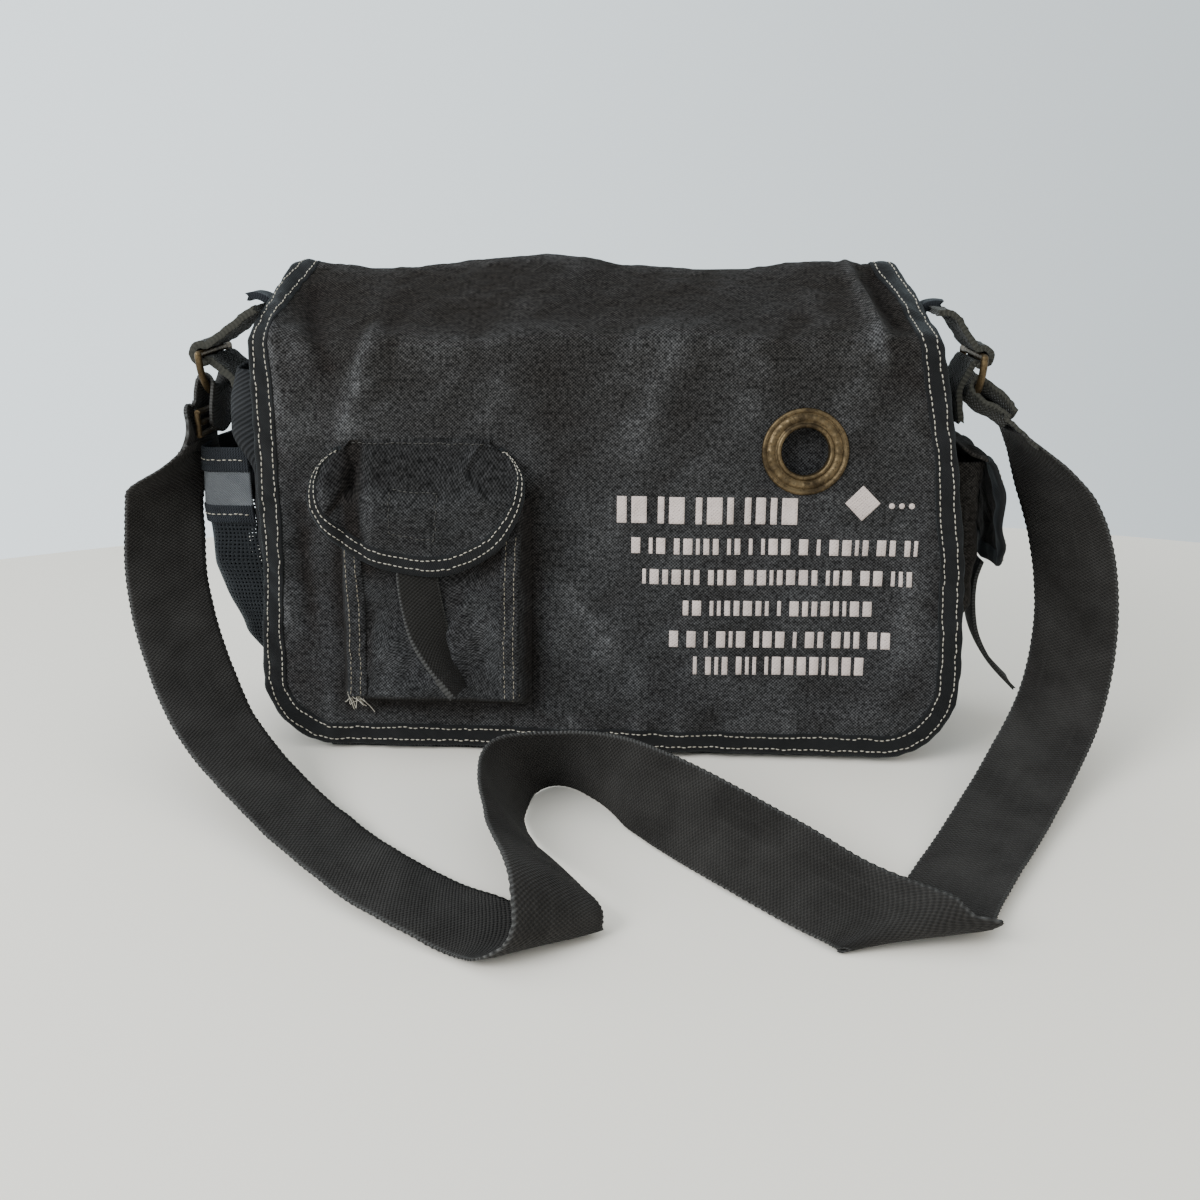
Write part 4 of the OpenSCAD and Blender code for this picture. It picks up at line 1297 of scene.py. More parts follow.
def pocket_normal(x, v):
    e = 0.5 * MM
    a = on_face(x + e, v, pocket_height(x + e, v)) - on_face(x - e, v, pocket_height(x - e, v))
    b = on_face(x, v + e, pocket_height(x, v + e)) - on_face(x, v - e, pocket_height(x, v - e))
    return unit(np.cross(a, b))


def build_pocket():
    k = np.linspace(0, 1, 130)
    x = (POCKET_X0 - 1 * MM) + (POCKET_X1 - POCKET_X0 + 2 * MM) * (k - 0.115 * np.sin(TAU * k) / 1.0 * 0.9)
    v = POCKET_V0 + (POCKET_V1 - POCKET_V0) * np.linspace(0, 1, 110) ** 1.15
    x, v = np.meshgrid(x, v)
    h = pocket_height(x, v)
    g = on_face(x, v, h + 1.0 * MM)
    n = grid_normals(g)
    wear_and_shade = np.clip(0.3 + 0.5 * wander(x, v, 0.05, 83, 3), -0.3, 1) * 0.6
    # Painted shade: darker where the pocket sinks to the flap at its sides and bottom, along the valley fold
    # near its left side, and in its upper part under the lid.
    wear_and_shade = wear_and_shade - 1.1 * (1 - smooth(0.2, 0.95, h / POCKET_D)) - 0.5 * bell(x, -0.143, 6 * MM)
    wear_and_shade = np.clip(wear_and_shade - 0.7 * smooth(0.095, 0.115, v), -1, 1)
    o = shell("flap_pocket", g, 1.4 * MM, np.stack([x + 1.3 * h, v + h], -1), wear_and_shade, n)
    finish_piece(o, POCKET_CANVAS, "canvas", "flap", ["cargo_pocket"])
    group = Group()
    trims = []
    for x0, x1, bow in (
        (POCKET_X0 + 3 * MM, POCKET_X0 + 15 * MM, 1.5), (POCKET_X1 - 15 * MM, POCKET_X1 - 4 * MM, -1.5)
    ):
        vv = np.linspace(POCKET_V0 + 8 * MM, 132 * MM, 90)[:, None]
        aa = np.linspace(0, 1, 11)[None, :]
        xx = x0 + (x1 - x0) * aa + bow * MM * np.sin(vv / 0.04) + 0 * vv
        vg = np.broadcast_to(vv, xx.shape)
        hh = pocket_height(xx, vg) + 2.3 * MM + 0.5 * MM * wander(xx, vg, 0.02, 84, 3)
        gg = on_face(xx, vg, hh)
        trims.append((gg, np.stack([xx, vg], -1)))
        for a in (0.22, 0.72):
            xs = (x0 + (x1 - x0) * a + bow * MM * np.sin(vv / 0.04))[:, 0]
            hs = pocket_height(xs, vv[:, 0]) + 2.3 * MM + 0.5 * MM * wander(xs, vv[:, 0], 0.02, 84, 3)
            add_stitches(group, on_face(xs, vv[:, 0], hs), pocket_normal(xs, vv[:, 0]), **FINE_STITCH)
    t = Group()
    for gg, uv in trims:
        a, b, c, _ = shell_parts(gg, 1.3 * MM, uv, None, grid_normals(gg))
        t.add(a, b, c)
    o = t.build("pocket_side_strips")
    finish_piece(o, POCKET_CANVAS, "canvas", "flap", ["cargo_pocket_trim"])
    turn = np.linspace(math.pi, TAU, 14)
    xs, vs = POCKET_X1 - 9.5 * MM + 4.5 * MM * np.cos(turn), POCKET_V0 + 12 * MM + 5 * MM * np.sin(turn)
    add_stitches(
        group, on_face(xs, vs, pocket_height(xs, vs) + 1.4 * MM), pocket_normal(xs, vs), **FINE_STITCH
    )
    finish_piece(group.build("pocket_stitches"), TAN_THREAD, "canvas", "flap")
    build_frays()


def build_frays():
    """A few pale raw threads at the pocket's lower left corner."""
    group = Group()
    rng = np.random.default_rng(91)
    for _ in range(FRAY_COUNT):
        x, v = POCKET_X0 + rng.uniform(2, 12) * MM, POCKET_V0 + rng.uniform(0, 9) * MM
        line = [on_face(np.array(x), np.array(v), pocket_height(x, v) + 1.5 * MM)]
        d = np.array([rng.uniform(-1, 1), rng.uniform(-0.3, 0.2), rng.uniform(-1, 0.3)]) * 1.3 * MM
        for _ in range(5):
            line.append(line[-1] + d)
            d = d + np.array([rng.normal(0, 0.4), rng.normal(-0.1, 0.2), rng.normal(-0.25, 0.3)]) * MM
        add_tube(group, catmull(line, 4), 0.22 * MM)
    finish_piece(group.build("pocket_frays"), THREAD, "canvas", "flap")


def add_tube(group, line, r, sides=6):
    t = unit(np.gradient(line, axis=0))
    up = np.array([0.31, 0.17, 0.93])
    a = unit(np.cross(t, up))
    b = np.cross(t, a)
    k = np.arange(sides) * TAU / sides
    size = np.full(len(line), r)
    size[0] = size[-1] = r * 0.4
    p = line[:, None] + size[:, None, None] * (
        np.cos(k)[None, :, None] * a[:, None] + np.sin(k)[None, :, None] * b[:, None]
    )
    last = (len(line) - 1) * sides
    caps = np.array(
        [
            [3, 2, 1, 0], [5, 4, 3, 0], [last, last + 1, last + 2, last + 3],
            [last, last + 3, last + 4, last + 5],
        ]
    )
    group.add(p.reshape(-1, 3), np.concatenate([grid_faces(len(line), sides, False, True), caps]))


LID_CLEARANCE = 5.2 * MM
RIM = [
    (-155, 184), (-171, 172), (-175, 157), (-171, 141), (-160, 128), (-143, 116), (-121, 110), (-98, 108),
    (-80, 113), (-62, 124), (-50, 143), (-46.5, 162), (-54, 175), (-70, 184),
]
RIM_LINE = respace(catmull(RIM, 12) * MM, 1.2 * MM)
LID_FOLDS = (
    ([(-153, 196), (-151, 160), (-147, 100)], 5, -13.0),
    ([(-151, 163), (-157, 152), (-164, 141)], 1.6, -3.0),
    ([(-163, 186), (-166, 160), (-160, 120)], 6, 4.6),
    ([(-142, 190), (-139, 160), (-134, 118)], 7, 3.0),
    ([(-140, 184), (-134, 160), (-126, 126)], 8, 2.6),
    ([(-72, 190), (-84, 168), (-60, 144)], 3.0, 5.5),
    ([(-60, 178), (-58, 166), (-52, 156)], 6, -3.0),
    ([(-97, 186), (-98, 160), (-100, 128)], 8, -2.4),
    ([(-116, 186), (-114, 160), (-112, 132)], 8, 1.6),
)


def lid_surface(t, r):
    """The pocket's lid: t runs along its curved edge and r from the seam to that edge."""
    s = along(RIM_LINE)
    rim = np.stack([np.interp(t * s[-1], s, RIM_LINE[:, k]) for k in range(2)], -1)
    hinge = np.stack([-0.155 + 0.086 * t, 0.1865 + 0 * t], -1)
    q = hinge + (rim - hinge) * r[..., None]
    x, v = q[..., 0], q[..., 1]
    h = 2.2 * MM + 22.5 * MM * smooth(0.0, 0.55, np.clip((0.187 - v) / 0.07, 0, 1))
    h = h + 1.0 * MM * wander(x, v, 0.045, 95, 3) * smooth(0, 0.2, r)
    for points, width, rise in LID_FOLDS:
        h = h + fold(x, v, points, width, rise) * smooth(0, 0.12, r)
    end = smooth(0, 0.10, t) * smooth(1, 0.90, t)
    h = h * (0.45 + 0.55 * end)
    h = np.maximum(h, 1.6 * MM)
    under = pocket_height(x, v) + LID_CLEARANCE
    inside = (
        smooth(POCKET_X0 - 2 * MM, POCKET_X0 + 4 * MM, x)
        * smooth(POCKET_X1 + 2 * MM, POCKET_X1 - 4 * MM, x)
    )
    cover = inside * (1 - smooth(0.148, 0.158, v))
    h = np.where(cover > 0, np.maximum(h, under * cover + h * (1 - cover)), h)
    return x, v, h


BOX_STITCH = ((-126, 158), (-126, 132), (-100, 128), (-98, 156), (-126, 158))
LID_SEAM_V = 0.1845
DARK_STITCH = {"length": 2.6 * MM, "r": 0.36 * MM}


def facing_front(count):
    return np.tile([0.0, -0.97, 0.2], (count, 1))


def lid_points(places, off):
    """Points off the lid's surface, over places (x, v) on the flap's face."""
    points = []
    for px, pv in places:
        x, v, h = lid_surface(*(np.array(k) for k in nearest_lid(px, pv)))
        points.append(on_face(x, v, h + off))
    return np.array(points)


def build_lid():
    t, r = np.meshgrid(np.linspace(0, 1, 170), np.linspace(0, 1, 80), indexing="xy")
    x, v, h = lid_surface(t, r)
    g = on_face(x, v, h)
    n = -grid_normals(g)
    uv = np.stack([x, v + 0.4 * h], -1)
    valley, _ = to_line(x, v, np.array([(-153, 186), (-151, 160), (-148, 112)]) * MM)
    crease, _ = to_line(x, v, np.array([(-151, 163), (-157, 152), (-164, 141)]) * MM)
    # Raised parts fade with wear; the low parts, and most of all the deep valley and the crease by the left
    # lobe, are darkened with painted shade.
    wear_and_shade = (
        np.clip((h - 22 * MM) / (4 * MM), -0.3, 1) * 0.55 + 0.25 * bell(r, 1, 0.15)
        + 0.3 * bell(v, 0.1865, 0.005)
    )
    wear_and_shade = wear_and_shade - 1.5 * bell(valley, 0, 5 * MM) - 1.5 * bell(crease, 0, 1.6 * MM)
    o = shell("pocket_lid", g[:, ::-1], 1.6 * MM, uv[:, ::-1], np.clip(wear_and_shade, -1, 1)[:, ::-1], n[:, ::-1])
    finish_piece(o, LID_CANVAS, "canvas", "cargo_flap", ["cargo_flap"])
    s = along(RIM_LINE)
    tt = np.linspace(0.01, 0.99, 150)

    def place(d, w):
        rr = 1 - np.clip(d / 0.052, -0.05, 1)
        x, v, h = lid_surface(tt, rr + 0 * tt)
        e = 1e-3
        x1, v1, h1 = lid_surface(tt + e, rr + 0 * tt)
        x2, v2, h2 = lid_surface(tt, rr + e + 0 * tt)
        p = on_face(x, v, h)
        nn = unit(np.cross(on_face(x2, v2, h2) - p, on_face(x1, v1, h1) - p))
        nn = nn * np.sign((nn * np.array([0, -0.99, 0.14])).sum(1, keepdims=True))
        return p + nn * w

    section = [
        (7.3, -0.3), (7.1, 0.8), (5.7, 0.8), (3.7, 1.1), (1.9, 0.8), (0.4, 0.8), (-0.8, 0), (-0.8, -1.6),
        (0.4, -2.6), (1.9, -2.8), (3.7, -2.9), (5.7, -2.6), (7.1, -2.4), (7.3, -1.4)
    ]
    lengths = tt * s[-1]
    edge_strip(
        "lid_edge_tape", place, section, lengths, TAPE, "binding_tape", "cargo_flap",
        stands_for=["cargo_flap_binding"],
    )
    group = Group()
    outward = facing_front(150)
    for d in (1.8, 5.6):
        add_stitches(
            group, place(d * MM, 0.85 * MM)[4:-4], outward[4:-4], pitch=3.3 * MM, length=2.4 * MM,
            r=0.28 * MM,
        )
    finish_piece(group.build("lid_stitches"), THREAD, "binding_tape", "cargo_flap")
    seam = Group()
    pts = lid_points(respace(np.array(BOX_STITCH, float) * MM, 2 * MM), 0.15 * MM)
    add_stitches(seam, pts, facing_front(len(pts)), length=2.4 * MM, r=0.32 * MM)
    pts = lid_points([(x, LID_SEAM_V) for x in np.linspace(-0.154, -0.071, 50)], 0.0)
    add_stitches(seam, pts + [0, -0.0004, 0.0001], facing_front(50), **DARK_STITCH)
    finish_piece(seam.build("lid_dark_stitches"), DARK_THREAD, "canvas", "cargo_flap")
    build_patches()


PATCH_Z0 = 0.0125


def build_patches():
    """Loop tape on the pocket and hook tape under its lid, both following the cloth."""
    lo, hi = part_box("cargo_loop_patch")
    v0 = (lo.z - PATCH_Z0) / FACE_COS
    x, v = np.meshgrid(np.linspace(lo.x, hi.x, 14), np.linspace(v0, v0 + hi.x - lo.x, 14))
    g = on_face(x, v, pocket_height(x, v) + 1.9 * MM)
    o = shell("loop_patch", g, 0.8 * MM, np.stack([x, v], -1), normals=grid_normals(g))
    finish_piece(o, TAPE, "binding_tape", "flap", ["cargo_loop_patch"])
    tr = np.array([nearest_lid(a, b) for a, b in zip(x.ravel(), v.ravel())]).reshape(14, 14, 2)
    a, b, h = lid_surface(tr[..., 0], tr[..., 1])
    g = on_face(x, v, h - 1.75 * MM)
    o = shell("hook_patch", g, 0.8 * MM, np.stack([x, v], -1), normals=grid_normals(g))
    finish_piece(o, TAPE, "binding_tape", "cargo_flap", ["cargo_hook_patch"])


LID_TABLE = {}


def nearest_lid(x, v):
    if "grid" not in LID_TABLE:
        t, r = np.meshgrid(np.linspace(0, 1, 160), np.linspace(0, 1, 80))
        a, b, _ = lid_surface(t, r)
        LID_TABLE["grid"] = (t, r, a, b)
    t, r, a, b = LID_TABLE["grid"]
    k = np.argmin(np.hypot(a - x, b - v))
    return t.ravel()[k], r.ravel()[k]


def build_tab():
    """The lid's webbing tab, which twists as it hangs."""
    path = [
        (-111, 119, 20.5), (-110.5, 104, 22), (-108, 88, 22.5), (-104, 72, 23.5), (-98, 58, 25),
        (-91, 45, 25), (-86, 37, 24),
    ]
    turn = [0, 3, 12, 30, 52, 68, 74]
    c = catmull([(*p, a) for p, a in zip(path, turn)], 16)
    a = np.radians(c[:, 3])
    centre = on_face(c[:, 0] * MM, c[:, 1] * MM, c[:, 2] * MM)
    tip = on_face(c[:, 0] * MM - 0.01 * np.cos(a), c[:, 1] * MM, c[:, 2] * MM + 0.01 * np.sin(a))
    across = centre - tip
    g, uv, n = ribbon_grid(centre, across, 12.5 * MM, 13, 0.6 * MM)
    n = -n
    s = along(centre)
    half = s[-1] - 13 * MM
    thick = np.where(s > half, 3.6 * MM, 2.0 * MM)[:, None] + 0 * g[..., 0]
    o = shell(
        "lid_tab", (g + n * thick[..., None] / 2)[:, ::-1], thick[:, ::-1], uv[:, ::-1], normals=n[:, ::-1]
    )
    finish_piece(o, TAB_WEBBING, "webbing", "cargo_tab", ["cargo_tab"])
    group = Group()
    k = np.where(s > half - 0.5 * MM)[0][0]
    row = g[k] + n[k] * 2.1 * MM
    line = respace(row, 1 * MM)
    add_stitches(group, line, np.tile(n[k][0], (len(line), 1)), **DARK_STITCH)
    finish_piece(group.build("tab_stitches"), DARK_THREAD, "webbing", "cargo_tab")


build_pocket()
build_lid()
build_tab()


# ---- pockets on the sides ----

POCKET_Y0, POCKET_Y1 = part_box("side_pouch")[0].y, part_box("side_pouch")[1].y


def side_pocket_path(q, z, side, face_x, extra=0.0, r=9 * MM):
    """A point on a side pocket's wall: q runs from the gusset's front, round the outside, to its back."""
    gx = side_x(side, z)
    depth = np.maximum(np.abs(face_x(z) - gx) + extra, 1.5 * MM)
    y0, y1 = POCKET_Y0 - extra, POCKET_Y1 + extra
    rr = np.minimum(r, depth * 0.95)
    a, b, c = depth - rr, rr * math.pi / 2, (y1 - y0) - 2 * rr
    total = 2 * a + 2 * b + c
    s = q * total
    out, y = np.zeros_like(s), np.zeros_like(s)
    for lo, hi, fx, fy in (
        (0 * a, a, lambda w: w, lambda w: y0 + 0 * w),
        (a, a + b, lambda w: a + rr * np.sin((w - a) / rr), lambda w: y0 + rr - rr * np.cos((w - a) / rr)),
        (a + b, a + b + c, lambda w: depth + 0 * w, lambda w: y0 + rr + (w - a - b)),
        (
            a + b + c, a + 2 * b + c, lambda w: depth - rr + rr * np.cos((w - a - b - c) / rr),
            lambda w: y1 - rr + rr * np.sin((w - a - b - c) / rr),
        ),
        (a + 2 * b + c, total + 1, lambda w: depth - rr - (w - a - 2 * b - c), lambda w: y1 + 0 * w),
    ):
        inside = (s >= lo - 1e-9) & (s <= hi)
        out = np.where(inside, fx(s), out)
        y = np.where(inside, fy(s), y)
    return np.stack([gx + side * out, y, z + 0 * s], -1), s


NET_Z = [0.046, 0.062, 0.110, 0.150, 0.186]
NET_X = [-0.2235, -0.238, -0.254, -0.2575, -0.255]


def net_x(z):
    return np.interp(z, NET_Z, NET_X)


def net_mesh(grid, normals, thick, hole=0.25):
    """A sheet of square cells with a hole through each."""
    rows, cols = grid.shape[:2]
    count = rows * cols
    back = grid - normals * thick
    verts = [grid.reshape(-1, 3), back.reshape(-1, 3)]
    i, j = [k.ravel() for k in np.meshgrid(np.arange(rows - 1), np.arange(cols - 1), indexing="ij")]
    corner = [grid[i, j], grid[i, j + 1], grid[i + 1, j + 1], grid[i + 1, j]]
    corner_b = [back[i, j], back[i, j + 1], back[i + 1, j + 1], back[i + 1, j]]
    middle, middle_b = sum(corner) / 4, sum(corner_b) / 4
    cells = len(i)
    inner = np.stack([middle + (c - middle) * (1 - 2 * hole) for c in corner], 1)
    inner_b = np.stack([middle_b + (c - middle_b) * (1 - 2 * hole) for c in corner_b], 1)
    verts += [inner.reshape(-1, 3), inner_b.reshape(-1, 3)]
    outer = np.stack([i * cols + j, i * cols + j + 1, (i + 1) * cols + j + 1, (i + 1) * cols + j], 1)
    hole_f = 2 * count + np.arange(cells * 4).reshape(-1, 4)
    hole_b = hole_f + cells * 4
    faces = []
    for k in range(4):
        m = (k + 1) % 4
        faces.append(np.stack([outer[:, k], outer[:, m], hole_f[:, m], hole_f[:, k]], 1))
        faces.append(np.stack([outer[:, m] + count, outer[:, k] + count, hole_b[:, k], hole_b[:, m]], 1))
        faces.append(np.stack([hole_f[:, k], hole_f[:, m], hole_b[:, m], hole_b[:, k]], 1))
    ids = np.arange(count).reshape(rows, cols)
    ring = np.concatenate([ids[0, :-1], ids[:-1, -1], ids[-1, :0:-1], ids[:0:-1, 0]])
    nxt = np.roll(ring, -1)
    faces.append(np.stack([nxt, ring, ring + count, nxt + count], 1))
    v = np.concatenate(verts)
    return v, np.concatenate(faces)


def tape_sag(q, s, z):
    """How far the net's tapes and band sag outwards between their ends."""
    return 1.0 * MM * wander(s, z, 0.07, 103, 2) * smooth(0, 0.2, q) * smooth(1, 0.8, q)


def build_mesh_pocket():
    cols, rows = 52, 38
    q, z = np.meshgrid(np.linspace(0, 1, cols), np.linspace(0.048, 0.142, rows))
    g, s = side_pocket_path(q, z, -1, net_x)
    bulge = 1.6 * MM * wander(s, z, 0.06, 101, 2) * smooth(0, 0.2, q) * smooth(1, 0.8, q)
    g[..., 0] -= bulge
    g = g[:, ::-1]
    n = grid_normals(g)
    v, f = net_mesh(g, n, 0.9 * MM)
    o = mesh_object("net", v, f, v[:, 1:])
    finish_piece(o, NET, "mesh", "bag", ["mesh_pocket_net"])
    group = Group()
    for name, node, z0, z1, extra, material, slot_name, ribs in (
        ("net_lower_tape", "mesh_pocket_lower_tape", 0.138, 0.1485, 1.3, RIB_TAPE, "binding_tape", True),
        ("net_band", "mesh_pocket_band", 0.147, 0.173, 0.7, GREY_BAND, "grey_band", False),
        ("net_top_tape", "mesh_pocket_top_tape", 0.171, 0.1855, 1.5, RIB_TAPE, "binding_tape", True),
    ):
        cols = 420 if ribs else 120
        q, z = np.meshgrid(np.linspace(0, 1, cols), np.linspace(z0, z1, 10))
        g, s = side_pocket_path(q, z, -1, net_x, extra * MM)
        g[..., 0] -= tape_sag(q, s, 0 * z)
        g = g[:, ::-1]
        n = grid_normals(g)
        if ribs:
            g = g + n * (0.22 * MM * np.sin(TAU * s[:, ::-1] / (1.7 * MM)))[..., None]
        uv = np.stack([s[:, ::-1], z], -1)
        o = shell(name, g, 1.5 * MM, uv, normals=n)
        finish_piece(o, material, slot_name, "bag", [node])
        if ribs:
            q = np.linspace(0.02, 0.98, 160)
            line, run = side_pocket_path(q, np.full(160, (z0 + z1) / 2), -1, net_x, (extra + 0.1) * MM)
            line[:, 0] -= tape_sag(q, run, 0 * q)
            add_stitches(group, line, side_normals(line))
    finish_piece(group.build("net_stitches"), THREAD, "binding_tape", "bag")


def side_normals(line):
    """Outward, level normals of a line that runs round a side pocket."""
    t = unit(np.gradient(line, axis=0))
    n = np.cross(t, [0, 0, 1.0])
    middle = line.mean(0) * [0.9, 1, 1]
    return n * np.sign(((line - middle) * n).sum(1).mean())


def pouch_x(z):
    return np.interp(z, [0.064, 0.0665, 0.090, 0.1815], [0.2135, 0.224, 0.2305, 0.2312])


def build_pouch():
    cols, rows = 110, 100
    q, z = np.meshgrid(np.linspace(0, 1, cols), np.linspace(0.0645, 0.181, rows))
    g, s = side_pocket_path(q, z, 1, pouch_x)
    mid = smooth(0, 0.15, q) * smooth(1, 0.85, q)
    g[..., 0] += mid * (1.4 * MM * wander(s, z, 0.05, 111, 3) + 1.2 * MM * bell(z, 0.1, 0.03))
    n = grid_normals(g)
    o = shell("pouch", g, 1.5 * MM, np.stack([s, z], -1), 0.3 * mid * np.abs(wander(s, z, 0.03, 112, 2)), n)
    finish_piece(o, BROWN_CANVAS, "canvas", "bag", ["side_pouch"])
    line = Line([(0.2155, 0.192), (0.236, 0.183), (0.2465, 0.150), (0.2478, 0.1125)], 3.5 * MM)

    def at(y, s, w=0.0):
        y, s = np.broadcast_arrays(y, s)
        xz = line.at(s)
        d = unit(line.at(s + 1e-3) - line.at(s - 1e-3))
        h = (
            1.5 * MM * wander(y, s, 0.05, 114, 3) + fold(y, s, [(30, 70), (22, 40), (28, 8)], 7, 2.2)
            + fold(y, s, [(-6, 70), (-2, 40), (-8, 8)], 7, -1.6)
        )
        h = (h - 0.6 * MM) * smooth(0, 0.012, s) + w
        return np.stack([xz[..., 0] - d[..., 1] * h, y, xz[..., 1] + d[..., 0] * h], -1)

    def normal(y, s):
        e = 0.5 * MM
        return unit(np.cross(at(y + e, s) - at(y - e, s), at(y, s - e) - at(y, s + e)))

    y0, y1, r = -0.026, 0.050, 22 * MM
    end = line.length
    turn = np.linspace(0, math.pi / 2, 16)[1:]
    s_rows = np.concatenate([np.linspace(0, end - r, 44), end - r + r * np.sin(turn)])
    d = np.clip(s_rows - (end - r), 0, r)
    cut = r - np.sqrt(np.maximum(r**2 - d**2, 0))
    yy = (y0 + cut)[:, None] + (y1 - y0 - 2 * cut)[:, None] * np.linspace(0, 1, 70)[None]
    ss = np.broadcast_to(s_rows[:, None], yy.shape)
    g, n = at(yy, ss), normal(yy, ss)
    wear_and_shade = np.clip(0.3 + 0.5 * wander(yy, ss, 0.04, 115, 3), 0, 1) * 0.5
    o = shell("pouch_lid", g[::-1], 1.8 * MM, np.stack([yy, ss], -1)[::-1], wear_and_shade[::-1], n[::-1])
    finish_piece(o, BROWN_CANVAS, "canvas", "pouch_flap", ["pouch_flap"])
    side = np.linspace(0.018, end - r, 30)
    arc = np.linspace(0, math.pi / 2, 24)[1:]
    p = np.concatenate([
        np.stack([np.full(30, y0), side], 1),
        np.stack([y0 + r - r * np.cos(arc), end - r + r * np.sin(arc)], 1),
        np.stack([np.linspace(y0 + r, y1 - r, 24)[1:], np.full(23, end)], 1),
        np.stack([y1 - r + r * np.sin(arc), end - r + r * np.cos(arc)], 1),
        np.stack([np.full(29, y1), side[::-1][1:]], 1),
    ])
    p = respace(p, 1.8 * MM)
    t = unit(np.gradient(p, axis=0))
    inward = np.stack([t[:, 1], -t[:, 0]], 1)
    lengths = along(p)

    def place(dd, w):
        k = p + inward * dd
        return at(k[:, 0], k[:, 1]) + normal(k[:, 0], k[:, 1]) * w

    section = [
        (10, -0.4), (9.8, 0.8), (8, 0.7), (5, 1.1), (2.2, 0.8), (0.4, 0.8), (-0.8, 0), (-0.8, -1.6),
        (0.4, -2.6), (2.2, -2.8), (5, -2.9), (8, -2.8), (9.8, -2.4), (10, -1.4),
    ]
    edge_strip(
        "pouch_edge_tape", place, section[::-1], lengths, TAPE, "binding_tape", "pouch_flap",
        stands_for=["pouch_flap_binding"],
    )
    group = Group()
    for dd in (2.2, 8.0):
        k = p + inward * dd * MM
        add_stitches(group, place(dd * MM, 0.85 * MM)[3:-3], normal(k[:, 0], k[:, 1])[3:-3])
    finish_piece(group.build("pouch_stitches"), THREAD, "binding_tape", "pouch_flap")
    c = catmull(
        [
            (0.2425, 0, 0.111), (0.2395, 0, 0.098), (0.2400, 0, 0.080), (0.2445, 0, 0.060),
            (0.2560, 0, 0.040), (0.2725, 0, 0.0225),
        ],
        14,
    )
    c[:, 1] = 0.0175
    o = ribbon("pouch_pull", c, np.tile([0, -1.0, 0], (len(c), 1)), 12.5 * MM, 2.2 * MM, 13, 0.8 * MM)
    finish_piece(o, TAB_WEBBING, "webbing", "pouch_tab", ["pouch_tab"])


build_mesh_pocket()
build_pouch()


# ---- anchors, rings and the strap's ends ----

RING_Y = 0.005
RING_R = 0.027
LEFT_BAR = (-0.249, 0.243)
RIGHT_BAR = (0.224, 0.244)
FUZZ, FUZZ_SCALE = 0.2 * MM, 7 * MM


def arc_xz(centre, r, a0, a1, count):
    a = np.radians(np.linspace(a0, a1, count))
    return [(centre[0] + r * math.cos(k), centre[1] + r * math.sin(k)) for k in a]


def xz_ribbon(
    name, path, y, half, thick, material, body, stands_for=(), blend=None, flip=False, cup=0.0, fuzz=0.0,
    seed=1, round_r=None, columns=15,
):
    """A strip whose line lies in a plane of constant y."""
    line = respace(catmull([(x, 0, z) for x, z in path], 8), 1.6 * MM)
    line[:, 1] = y
    across = np.tile([0, 1.0 if flip else -1.0, 0], (len(line), 1))
    g, uv, n = ribbon_grid(line, across, half, columns, cup)
    if round_r:
        off = g[..., 1] - RING_Y
        g[..., 2] += round_r - np.sqrt(np.maximum(round_r**2 - off**2, 0))
    if fuzz:
        g = fuzzed(g, uv, n, fuzz, FUZZ_SCALE, seed)
    o = shell(name, g + n * thick / 2, thick, uv, normals=n)
    finish_piece(o, material, "webbing", body, stands_for, blend)
    return o


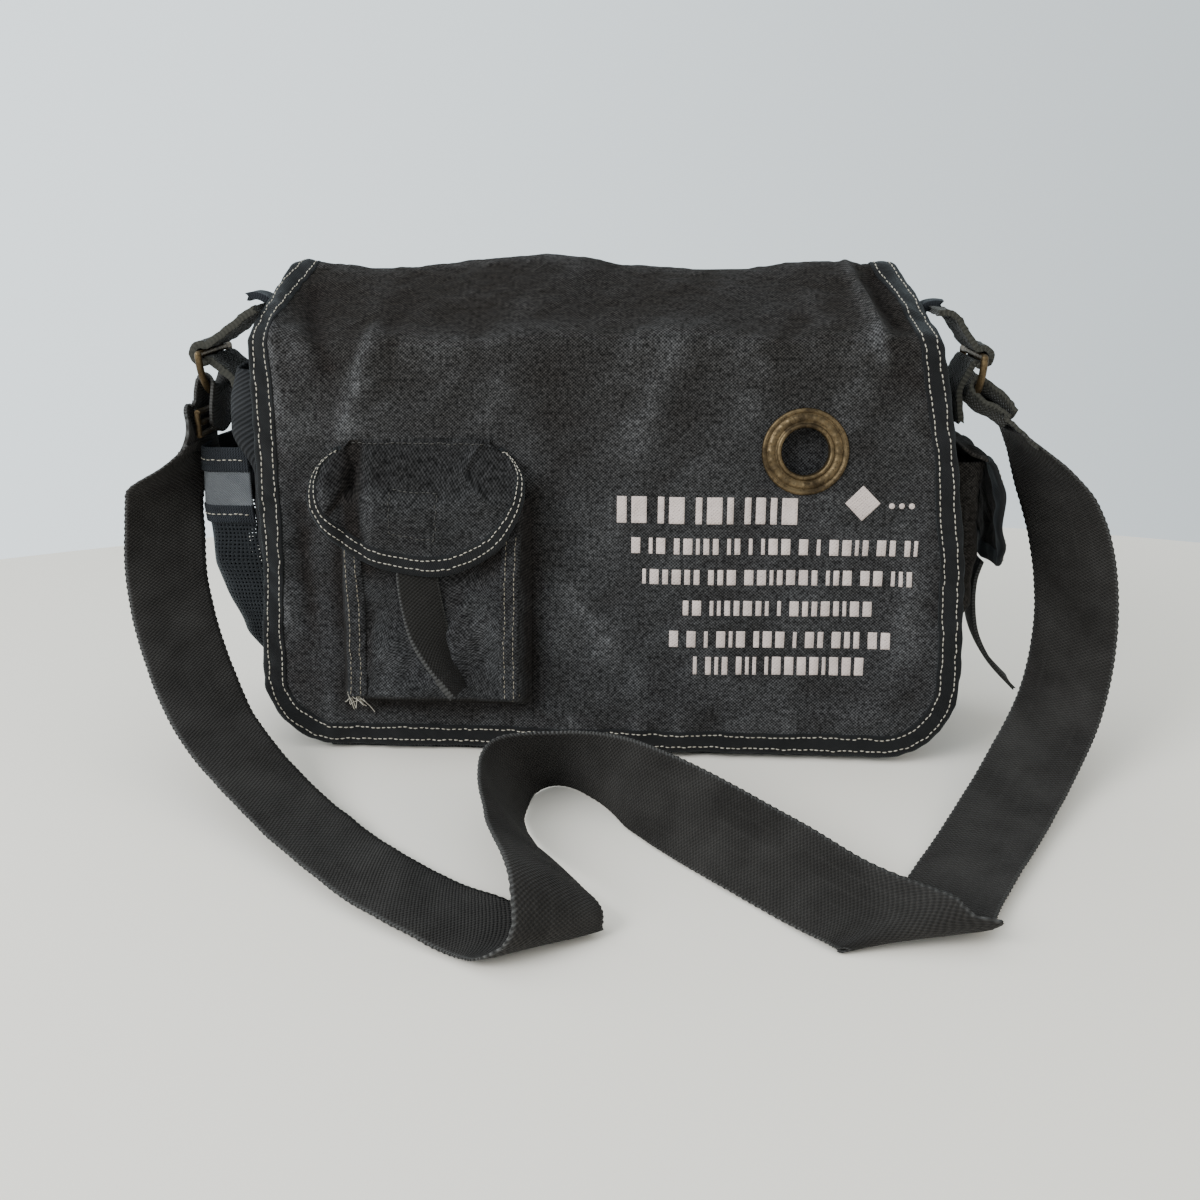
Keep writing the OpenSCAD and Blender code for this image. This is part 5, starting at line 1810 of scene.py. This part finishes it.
def build_hardware():
    left = [
        (-0.2125, 0.270), (-0.2185, 0.267), (-0.226, 0.2615), (-0.2365, 0.254)
    ] + arc_xz(LEFT_BAR, 5.6 * MM, 62, 318, 12)
    left += [(-0.2375, 0.2335), (-0.2305, 0.2265), (-0.2280, 0.214), (-0.2275, 0.193)]
    xz_ribbon(
        "anchor_loop_left", left, RING_Y, 22 * MM, 4.4 * MM, FUZZY, "bag", ["anchor_left"], fuzz=FUZZ,
        seed=5, flip=True,
    )
    right = (
        [(0.1955, 0.2695), (0.2060, 0.2680), (0.2145, 0.2570)] + arc_xz(RIGHT_BAR, 5.4 * MM, 125, -140, 12)
    )
    right += [(0.2160, 0.2330), (0.2125, 0.2240), (0.2150, 0.2040)]
    xz_ribbon(
        "anchor_loop_right", right, RING_Y, 22 * MM, 3.4 * MM, FUZZY, "bag", ["anchor_right"], fuzz=FUZZ,
        seed=6,
    )
    for node in ("d_ring_left", "d_ring_right", "strap_slider"):
        paint_node(node, BRASS)
    low = (LEFT_BAR[0], LEFT_BAR[1] - RING_R)
    tail = [(-0.2577, 0.1900), (-0.2572, 0.2000), (-0.2562, 0.2100), (-0.2540, 0.2185)]
    tail += arc_xz((low[0], low[1] + 1.5 * MM), 4.6 * MM, 170, 10, 7)
    tail += [(-0.2455, 0.2110), (-0.2470, 0.2020), (-0.2480, 0.1915)]
    o = xz_ribbon(
        "strap_fold_left", tail, RING_Y, 20 * MM, 1.7 * MM, WEBBING, "left_ring", ["strap_tail_left"],
        round_r=RING_R, flip=True,
    )
    low = (RIGHT_BAR[0], RIGHT_BAR[1] - RING_R)
    loop = [(0.2480, 0.2030), (0.2400, 0.2125), (0.2305, 0.2195)]
    loop += arc_xz((low[0], low[1] + 1.6 * MM), 4.6 * MM, 65, 235, 8)
    loop += [(0.2290, 0.2085), (0.2365, 0.2055), (0.2450, 0.1995)]
    o = xz_ribbon(
        "strap_fold_right", loop, RING_Y, 20 * MM, 2.0 * MM, FUZZY, "right_ring", ["strap_connector_right"],
        round_r=RING_R, fuzz=FUZZ, seed=8, flip=True,
    )
    for name, body, a, b, seed in (
        (
            "strap_neck_left", "left_ring",
            [
                (-0.2575, 0.002, 0.2050), (-0.2577, -0.002, 0.1980), (-0.2570, -0.012, 0.1885),
                (-0.2600, -0.0135, 0.1820),
            ],
            ((0.03, -1, 0.0), (-0.1, -1, 0)), 3,
        ),
        (
            "strap_neck_right", "right_ring",
            [
                (0.2395, 0.005, 0.2100), (0.2450, 0.0055, 0.2050), (0.2520, 0.006, 0.1975),
                (0.2600, 0.007, 0.1890),
            ],
            ((0.05, 1, 0), (-0.15, 1, 0)), 4,
        ),
    ):
        c = catmull(a, 10)
        w = np.linspace(0, 1, len(c))[:, None]
        across = np.array(b[0], float) * (1 - w) + np.array(b[1], float) * w
        half = (21 + 4 * w[:, 0]) * MM
        g, uv, n = ribbon_grid(c, across, half, 15, 0.8 * MM)
        if seed == 4:
            g = fuzzed(g, uv, n, FUZZ, FUZZ_SCALE, seed)
        o = shell(name, g + n * 1.1 * MM, 2.2 * MM, uv, normals=n)
        finish_piece(
            o, FUZZY if seed == 4 else WEBBING, "webbing", blend=("bag", body, (0, 0, 0.189), (0, 0, 0.205))
        )


build_hardware()


# ---- floor and light ----


def add_floor():
    bpy.ops.mesh.primitive_circle_add(
        vertices=256, radius=1.42, fill_type="NGON", location=(0.12, -0.88, 0)
    )
    o = bpy.context.object
    o.name = "floor"
    p = Paint("floor_paint", 0.75, specular=0.2)
    place = p.node("TexCoord", 3)
    p.set(
        "Base Color",
        p.mix(p.range(p.noise(place, 1.4, 3, 0.5), 0.3, 0.7), (0.86, 0.80, 0.715), (0.88, 0.82, 0.735)),
    )
    o.data.materials.append(p.mat)


def add_light(name, kind, location, target, energy, size, colour):
    data = bpy.data.lights.new(name, kind)
    data.energy = energy
    data.color = colour
    if kind == "AREA":
        data.shape = "RECTANGLE"
        data.size, data.size_y = size
    o = bpy.data.objects.new(name, data)
    o.location = location
    d = np.array(target, float) - np.array(location, float)
    yaw, pitch = math.atan2(d[1], d[0]), math.atan2(math.hypot(d[0], d[1]), -d[2])
    o.rotation_euler = (pitch, 0, yaw - math.pi / 2)
    bpy.context.scene.collection.objects.link(o)


WORLD_LEFT, WORLD_RIGHT = 1.75, 0.95


def add_world():
    world = bpy.data.worlds.new("world")
    bpy.context.scene.world = world
    world.use_nodes = True
    tree = world.node_tree
    back = tree.nodes["Background"]
    back.inputs[0].default_value = (0.86, 0.95, 0.99, 1)
    place = tree.nodes.new("ShaderNodeTexCoord")
    parts = tree.nodes.new("ShaderNodeSeparateXYZ")
    side = tree.nodes.new("ShaderNodeMapRange")
    side.inputs["From Min"].default_value, side.inputs["From Max"].default_value = -0.5, 0.5
    side.inputs["To Min"].default_value, side.inputs["To Max"].default_value = WORLD_LEFT, WORLD_RIGHT
    tree.links.new(place.outputs["Generated"], parts.inputs[0])
    tree.links.new(parts.outputs[0], side.inputs["Value"])
    tree.links.new(side.outputs[0], back.inputs[1])


add_floor()
add_world()
add_light("key", "AREA", (-1.2, -1.1, 1.1), (0, -0.05, 0.12), 30, (1.0, 0.8), (0.95, 0.98, 1.0))
add_light("fill", "AREA", (1.5, -0.7, 0.9), (0, -0.05, 0.12), 5, (1.2, 1.0), (1.0, 0.84, 0.64))
